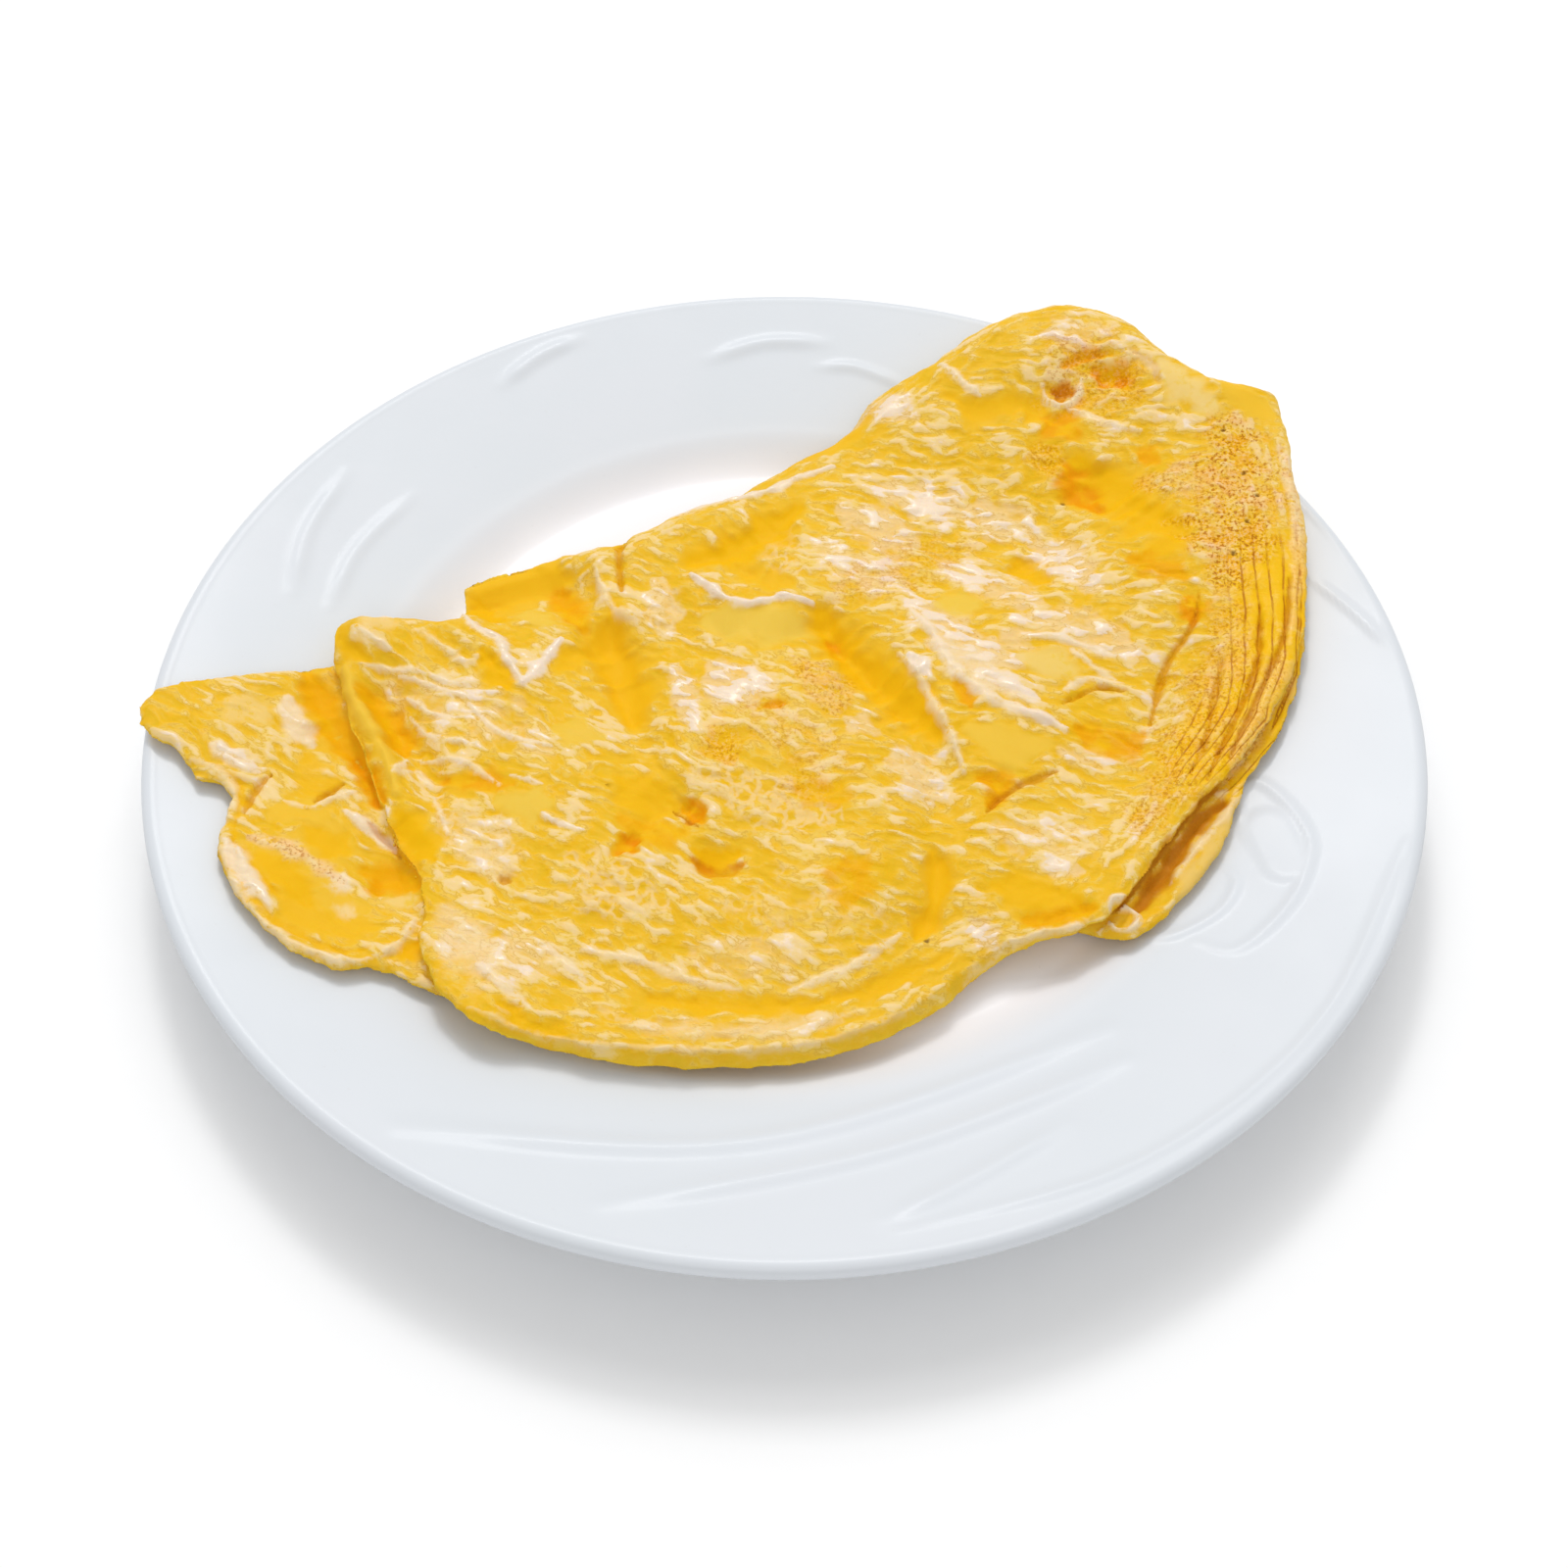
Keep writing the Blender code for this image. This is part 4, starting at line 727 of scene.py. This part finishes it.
warp_x = x + 3.0 * lumps(x / 11, y / 11, 11) + 1.1 * lumps(x / 3.5, y / 3.5, 15) + 0.5 * z
warp_y = y + 3.0 * lumps(x / 11, y / 11, 12) + 1.1 * lumps(x / 3.5, y / 3.5, 16) - 0.5 * z
rightward = ease((x - TURN_START) / (TURN_END - TURN_START))
near_lip = ease((18 - from_lip) / 12) * ease((lip_station - 8) / END_FADE)
near_lip *= ease((lip_station.max() - lip_station - 3) / END_FADE)
near_back = ease((14 - from_back) / 10) * ease((back_station - 3) / END_FADE)
near_back *= ease((back_station.max() - back_station - 3) / END_FADE)
near_back *= 1 - near_lip
ridge = strokes(*turned(warp_x, warp_y, LEFT_WRINKLES), 21) * (1 - rightward)
ridge += strokes(*turned(warp_x, warp_y, RIGHT_WRINKLES), 23) * rightward
ridge *= 1 - np.maximum(near_lip, near_back)
ridge += strokes(lip_station, from_lip + 1.2 * lumps(x / 12, y / 12, 13), 25) * near_lip
ridge += strokes(back_station, from_back + 1.2 * lumps(x / 12, y / 12, 14), 27) * near_back
lively = ease((lumps(x / 14, y / 14, 41) + 0.25) / 0.5)
ridge += 0.2 * (lively - 0.5) + 0.2 * finishes[GLOSS_AND_PAINTED_GLINT] - 0.1 * finishes[LACE] - 0.1 * layered
still = np.clip(1 - 0.92 * finishes[FILM], 0.06, 1)
net = bubbles(warp_x / BLISTER_SIZE, warp_y / BLISTER_SIZE, 31)
blister_walls = (1 - ease(net / 0.3)) * (0.25 + 0.75 * finishes[LACE])
fine = (WRINKLE_HEIGHT * np.clip(ridge, -0.4, 0.5) + BLISTER_HEIGHT * blister_walls) * still
fine = fine * (1 - 0.6 * layered) - GROOVE_DEPTH * groove
slow = SWELL_HEIGHT * lumps(x / SWELL_SIZE, y / SWELL_SIZE, 51) * still

# The sheet's cut side shows the edges of its layers, and is 0 on the upper skin and low on the plate.
cut_side = np.clip(1 - upward, 0, 1) * ease((normals[:, 2] + 0.6) / 0.4) * ease((z - 8.5) / 1.0)
side_finishes = np.zeros((len(FINISHES), count))
for path, half_width, shows in EDGE_MARKS.values():
    away = distance_to(plan, smooth_path(path, PATH_STEPS))[0]
    for finish, share in shows.items():
        shown = share * cut_side * ease(1.5 - away / half_width)
        side_finishes[finish] = np.maximum(side_finishes[finish], shown)
side_lines = creases((x - y) / 9.0, z / 1.3 + 0.7 * lumps(x / 7, y / 7, 61), 62)

# The outer edge wanders in and out, is drawn in where it meets the plate, and its lips are lifted there.
wander = EDGE_WANDER * lumps(x / 5, y / 5, 71) + EDGE_RIPPLE * lumps(x / 2, y / 2, 72)
above_plate = z - plate_top(np.hypot(x, y))
undercut = UNDERCUT_SLOPE * np.clip(UNDERCUT_TOP - above_plate, 0, UNDERCUT_TOP)
lifted = LIP_LIFT * ease((LIP_REACH - from_lip) / LIP_REACH) * ease((LIP_TOP - above_plate) / LIP_TOP)
lifted *= ease((lip_station - 3) / 10)

places[:, 2] += (relief + slow + fine) * upward + lifted * (1 - upward)
places += normals * ((0.2 * fine + SIDE_RELIEF * side_lines) * cut_side)[:, None]
places[:, :2] += normals[:, :2] * (wander - undercut)[:, None]
low, high = (np.array(corner) / MM for corner in cad_box)
places = np.clip(places, low + BOX_MARGIN, high - BOX_MARGIN)
move_vertices(omelette, places)

triangles = sum(len(face.vertices) - 2 for face in omelette.data.polygons)
if triangles > MOST_TRIANGLES:
    change_with(omelette, "DECIMATE", ratio=MOST_TRIANGLES / triangles)


def keep_value(piece, name, values):
    """Stores one number at each vertex, for the material."""
    attribute = piece.data.attributes.new(name, "FLOAT", "POINT")
    attribute.data.foreach_set("value", np.asarray(values, np.float32))


# The skin's finishes are read again at the vertices that are left, from the nearest of the old ones.
old_places = KDTree(count)
for index, spot in enumerate(places):
    old_places.insert(spot, index)
old_places.balance()
kept = np.array([old_places.find(spot)[1] for spot in vertices_of(omelette)])
for finish, name in enumerate(FINISHES):
    keep_value(omelette, name, (finishes[finish] * upward + side_finishes[finish])[kept])
keep_value(omelette, "ridge", (ridge * still - 0.6 * (1 - still) - 0.6 * (1 - upward))[kept])
keep_value(omelette, "layer", layer[kept])
keep_value(omelette, "layered", (layered * upward)[kept])
keep_value(omelette, "side", cut_side[kept])
bpy.ops.object.select_all(action="DESELECT")
omelette.select_set(True)
bpy.context.view_layer.objects.active = omelette
bpy.ops.object.shade_smooth()

AMBER = (0.82, 0.445, 0.0)
GOLD = (0.89, 0.50, 0.0)
YOLK = (0.80, 0.465, 0.02)
STRAW = (0.80, 0.545, 0.10)
PAINTED_TROUGH_SHADE = (0.66, 0.43, 0.01)
ROSE_GRAIN_AND_PAINTED_GLINT = (0.83, 0.615, 0.35)
EGG_WHITE_AND_PAINTED_HIGHLIGHT = (0.84, 0.62, 0.30)
LINE_WHITE_AND_PAINTED_HIGHLIGHT = (0.84, 0.675, 0.43)
PAINTED_PINK_GLINT = (0.83, 0.68, 0.54)
SKIN = (0.80, 0.545, 0.08)
ORANGE = (0.78, 0.27, 0.001)
TAN = (0.60, 0.31, 0.015)
TOAST = (0.46, 0.145, 0.006)
SIDE_YELLOW_LIGHTENED = (0.92, 0.64, 0.05)
CHAR = (0.16, 0.07, 0.01)

egg, shader, place = new_material("fried_egg")


def held(name):
    """The values stored at the vertices under a name."""
    return place.node("Attribute", {"attribute_name": name}, output=2)


def combed(degrees):
    """Noise drawn out into fine lines that run in one direction."""
    flow = place.bent(9, 7)
    turn = {"Vector": flow, "Angle": math.radians(-degrees)}
    flow = flow.node("VectorRotate", {"rotation_type": "Z_AXIS"}, turn)
    flow = flow.node("VectorMath", {"operation": "MULTIPLY"}, {0: flow, 1: (0.22, 1, 1)})
    return flow.noise(1.1, 3, 0.6) - 0.5


patchy = place.noise(9, 3)
mottle = place.noise(4.5, 3)
ragged = place.noise(1.3, 3, 0.6) - 0.5
blotch = place.noise(3.4, 3) - 0.5
rough_skin = 1 - held("film")
to_right = place.node("SeparateXYZ", sockets={"Vector": place}).limited(TURN_START * MM, TURN_END * MM)
fibres = combed(LEFT_WRINKLES) * (1 - to_right) + combed(RIGHT_WRINKLES) * to_right
uneven = held("ridge") + fibres * 0.9 + ragged * 0.25 + (patchy - 0.5) * 0.4
cell_walls = place.node("TexVoronoi", {"feature": "DISTANCE_TO_EDGE"},
                        {"Vector": place.bent(3.0, 4.0), "Scale": 1 / (3.2 * MM)})
lace = (cell_walls + ragged * 0.2).limited(0.24, 0.04) * (held("lace") + blotch * 1.2).limited(0.2, 0.8)
# Mask of the painted pink-white glint; it also makes the coat glossier and the skin smoother there.
painted_glint_and_gloss = (held("shine") * 0.6 + blotch * 1.2 + uneven * 1.1).limited(0.55, 0.85)
rim_line = (uneven - 0.07).maths("ABSOLUTE").limited(0.06, 0.015) * (blotch + 0.1).limited(-0.15, 0.1)
grit = place.noise(0.8, 3, 0.6)

# Each colour is laid over those before it, by the share that it shows there.
colour = flat_colour(place, YOLK).coloured(uneven.limited(-0.2, 0.1) * 0.9, STRAW)
# Painted sheen: a pinkish pale laid over the glossy zones.
colour = colour.coloured((held("shine") + blotch).limited(0.1, 0.7) * 0.6, ROSE_GRAIN_AND_PAINTED_GLINT)
# Painted shade: an olive darkening in the wrinkles' troughs.
colour = colour.coloured(uneven.limited(-0.15, -0.4) * mottle.limited(0.35, 0.6) * 0.4, PAINTED_TROUGH_SHADE)
colour = colour.coloured(mottle.limited(0.52, 0.64) * 0.4, AMBER)
colour = colour.coloured(held("film") * 0.8, SKIN)
# Pale crests: partly pale egg streaks, partly painted highlight on the wrinkles' tops.
colour = colour.coloured(uneven.limited(0.08, 0.35) * rough_skin * 0.8, EGG_WHITE_AND_PAINTED_HIGHLIGHT)
colour = colour.coloured(rim_line * rough_skin * 0.5, TAN)
# The paler lace of blister walls, partly painted highlight.
colour = colour.coloured(lace * 0.6, EGG_WHITE_AND_PAINTED_HIGHLIGHT)
# Painted highlight: pink-white glints laid into the colour over the wrinkles.
colour = colour.coloured(painted_glint_and_gloss * rough_skin * 0.8, PAINTED_PINK_GLINT)
colour = colour.coloured(held("deep") * 0.95, AMBER)
colour = colour.coloured(held("stain") * (mottle + 0.1).limited(0.4, 0.7) * 0.95, ORANGE)
# Pale lines and rims: partly pale egg, partly painted highlight and rim light; pinker where the painted
# sheen is.
colour = colour.coloured(held("pale") * (place.noise(3.0, 3) + ragged).limited(0.2, 0.45) * 0.9, LINE_WHITE_AND_PAINTED_HIGHLIGHT)
colour = colour.coloured(held("pale") * held("shine") * 0.8, PAINTED_PINK_GLINT)
# The cut side, a brighter yellow: partly its own colour, partly painted light against the shade it stands
# in.
colour = colour.coloured(held("side") * (mottle + ragged * 0.4).limited(0.25, 0.6) * 0.7, SIDE_YELLOW_LIGHTENED)
colour = colour.coloured(held("layered") * 0.65, GOLD)
colour = colour.coloured(held("speck") * blotch.limited(-0.1, 0.1) * 0.4, ORANGE)
colour = colour.coloured(held("speck") * grit.limited(0.48, 0.38) * 0.45, ROSE_GRAIN_AND_PAINTED_GLINT)
grains = grit.limited(0.53, 0.62) * held("speck") * mottle.limited(0.3, 0.5)
colour = colour.coloured(grains * 0.9, TOAST)
seam = (held("layer").maths("FRACT") - 0.5).maths("ABSOLUTE").limited(0.39, 0.47) * held("layered")
colour = colour.coloured(seam * (blotch + 0.15).limited(-0.15, 0.25) * 0.8, TOAST)
# Browned lines, and painted shade under the flap's overhanging edge.
colour = colour.coloured(held("brown") * 0.8, TOAST)
colour = colour.coloured(held("pepper") * 0.85, CHAR)
connect(colour, shader, "Base Color")
connect(0.55 - painted_glint_and_gloss * 0.15 + (mottle - 0.5) * 0.2, shader, "Roughness")
wet = (0.1 + painted_glint_and_gloss * 0.3 + held("pale") * 0.2) * (1 - held("deep") * 0.8) * (1 - held("film") * 0.4)
connect(wet.limited(0, 1), shader, "Coat Weight")
shader.inputs["Coat Roughness"].default_value = 0.2
shader.inputs["Specular IOR Level"].default_value = 0.05
shader.inputs["Subsurface Weight"].default_value = 0.1
shader.inputs["Subsurface Radius"].default_value = (1.0, 0.6, 0.15)
shader.inputs["Subsurface Scale"].default_value = 1.2 * MM
grain = (ragged * 0.6 + fibres) * rough_skin + lace * 0.2 - seam * 0.5 - grains * 0.4
connect_relief(grain, 0.4, 0.5, shader)
omelette.data.materials.clear()
omelette.data.materials.append(egg)
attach(omelette, "root")
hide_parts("omelette")


# ---------------------------------------------------------------------------------------------------------
# Studio. A plain white floor under a white sky. A large soft lamp and a small one stand above and behind
# the plate, so that their shine lies on the egg's wet wrinkles, and a weaker one fills in from the front.

CAMERA_PLACE = (-0.1, -297.6, 354.3)
CAMERA_TARGET = (-0.1, -20.0, 16.0)
FLOOR_WIDTH = 6000
PAPER_WHITE = (0.93, 0.93, 0.93)
PAPER_SHADE = (0.9, 0.9, 0.9)
LAMPS = [  # name, place, width and depth, and power in watts
    ("back_softbox", (0, 1700, 2300), (2000, 1500), 26.0),
    ("back_lamp", (-150, 1900, 2280), (520, 520), 20.0),
    ("front_fill", (0, -1900, 2000), (1500, 1500), 12.0),
]
SKY_STRENGTH = 0.62


def aim(thing, target):
    """Turns a camera or a lamp, whose view is along its own -Z, to face a point."""
    thing.rotation_euler = (Vector(target) * MM - thing.location).to_track_quat("-Z", "Y").to_euler()


bpy.ops.object.camera_add(location=Vector(CAMERA_PLACE) * MM)
camera = bpy.context.object
camera.data.lens = 50
camera.data.sensor_width = 36
aim(camera, CAMERA_TARGET)
bpy.context.scene.camera = camera

bpy.ops.mesh.primitive_plane_add(size=FLOOR_WIDTH * MM, location=(0, 0, 0))
floor = bpy.context.object
floor.name = "floor"
paper, shader, place = new_material("white_paper")
colour = flat_colour(place, PAPER_WHITE).coloured(place.noise(300, 2) * 0.1, PAPER_SHADE)
connect(colour, shader, "Base Color")
shader.inputs["Roughness"].default_value = 0.9
shader.inputs["Specular IOR Level"].default_value = 0.0
floor.data.materials.append(paper)

for name, spot, size, power in LAMPS:
    bpy.ops.object.light_add(type="AREA", location=Vector(spot) * MM)
    lamp = bpy.context.object
    lamp.name = name
    lamp.data.shape = "RECTANGLE"
    lamp.data.size, lamp.data.size_y = size[0] * MM, size[1] * MM
    lamp.data.energy = power
    aim(lamp, (0, 0, 0))

sky = bpy.data.worlds.new("white_sky")
bpy.context.scene.world = sky
sky.use_nodes = True
background = sky.node_tree.nodes["Background"]
background.inputs["Color"].default_value = (1, 1, 1, 1)
background.inputs["Strength"].default_value = SKY_STRENGTH
bpy.context.scene.view_settings.view_transform = "Standard"
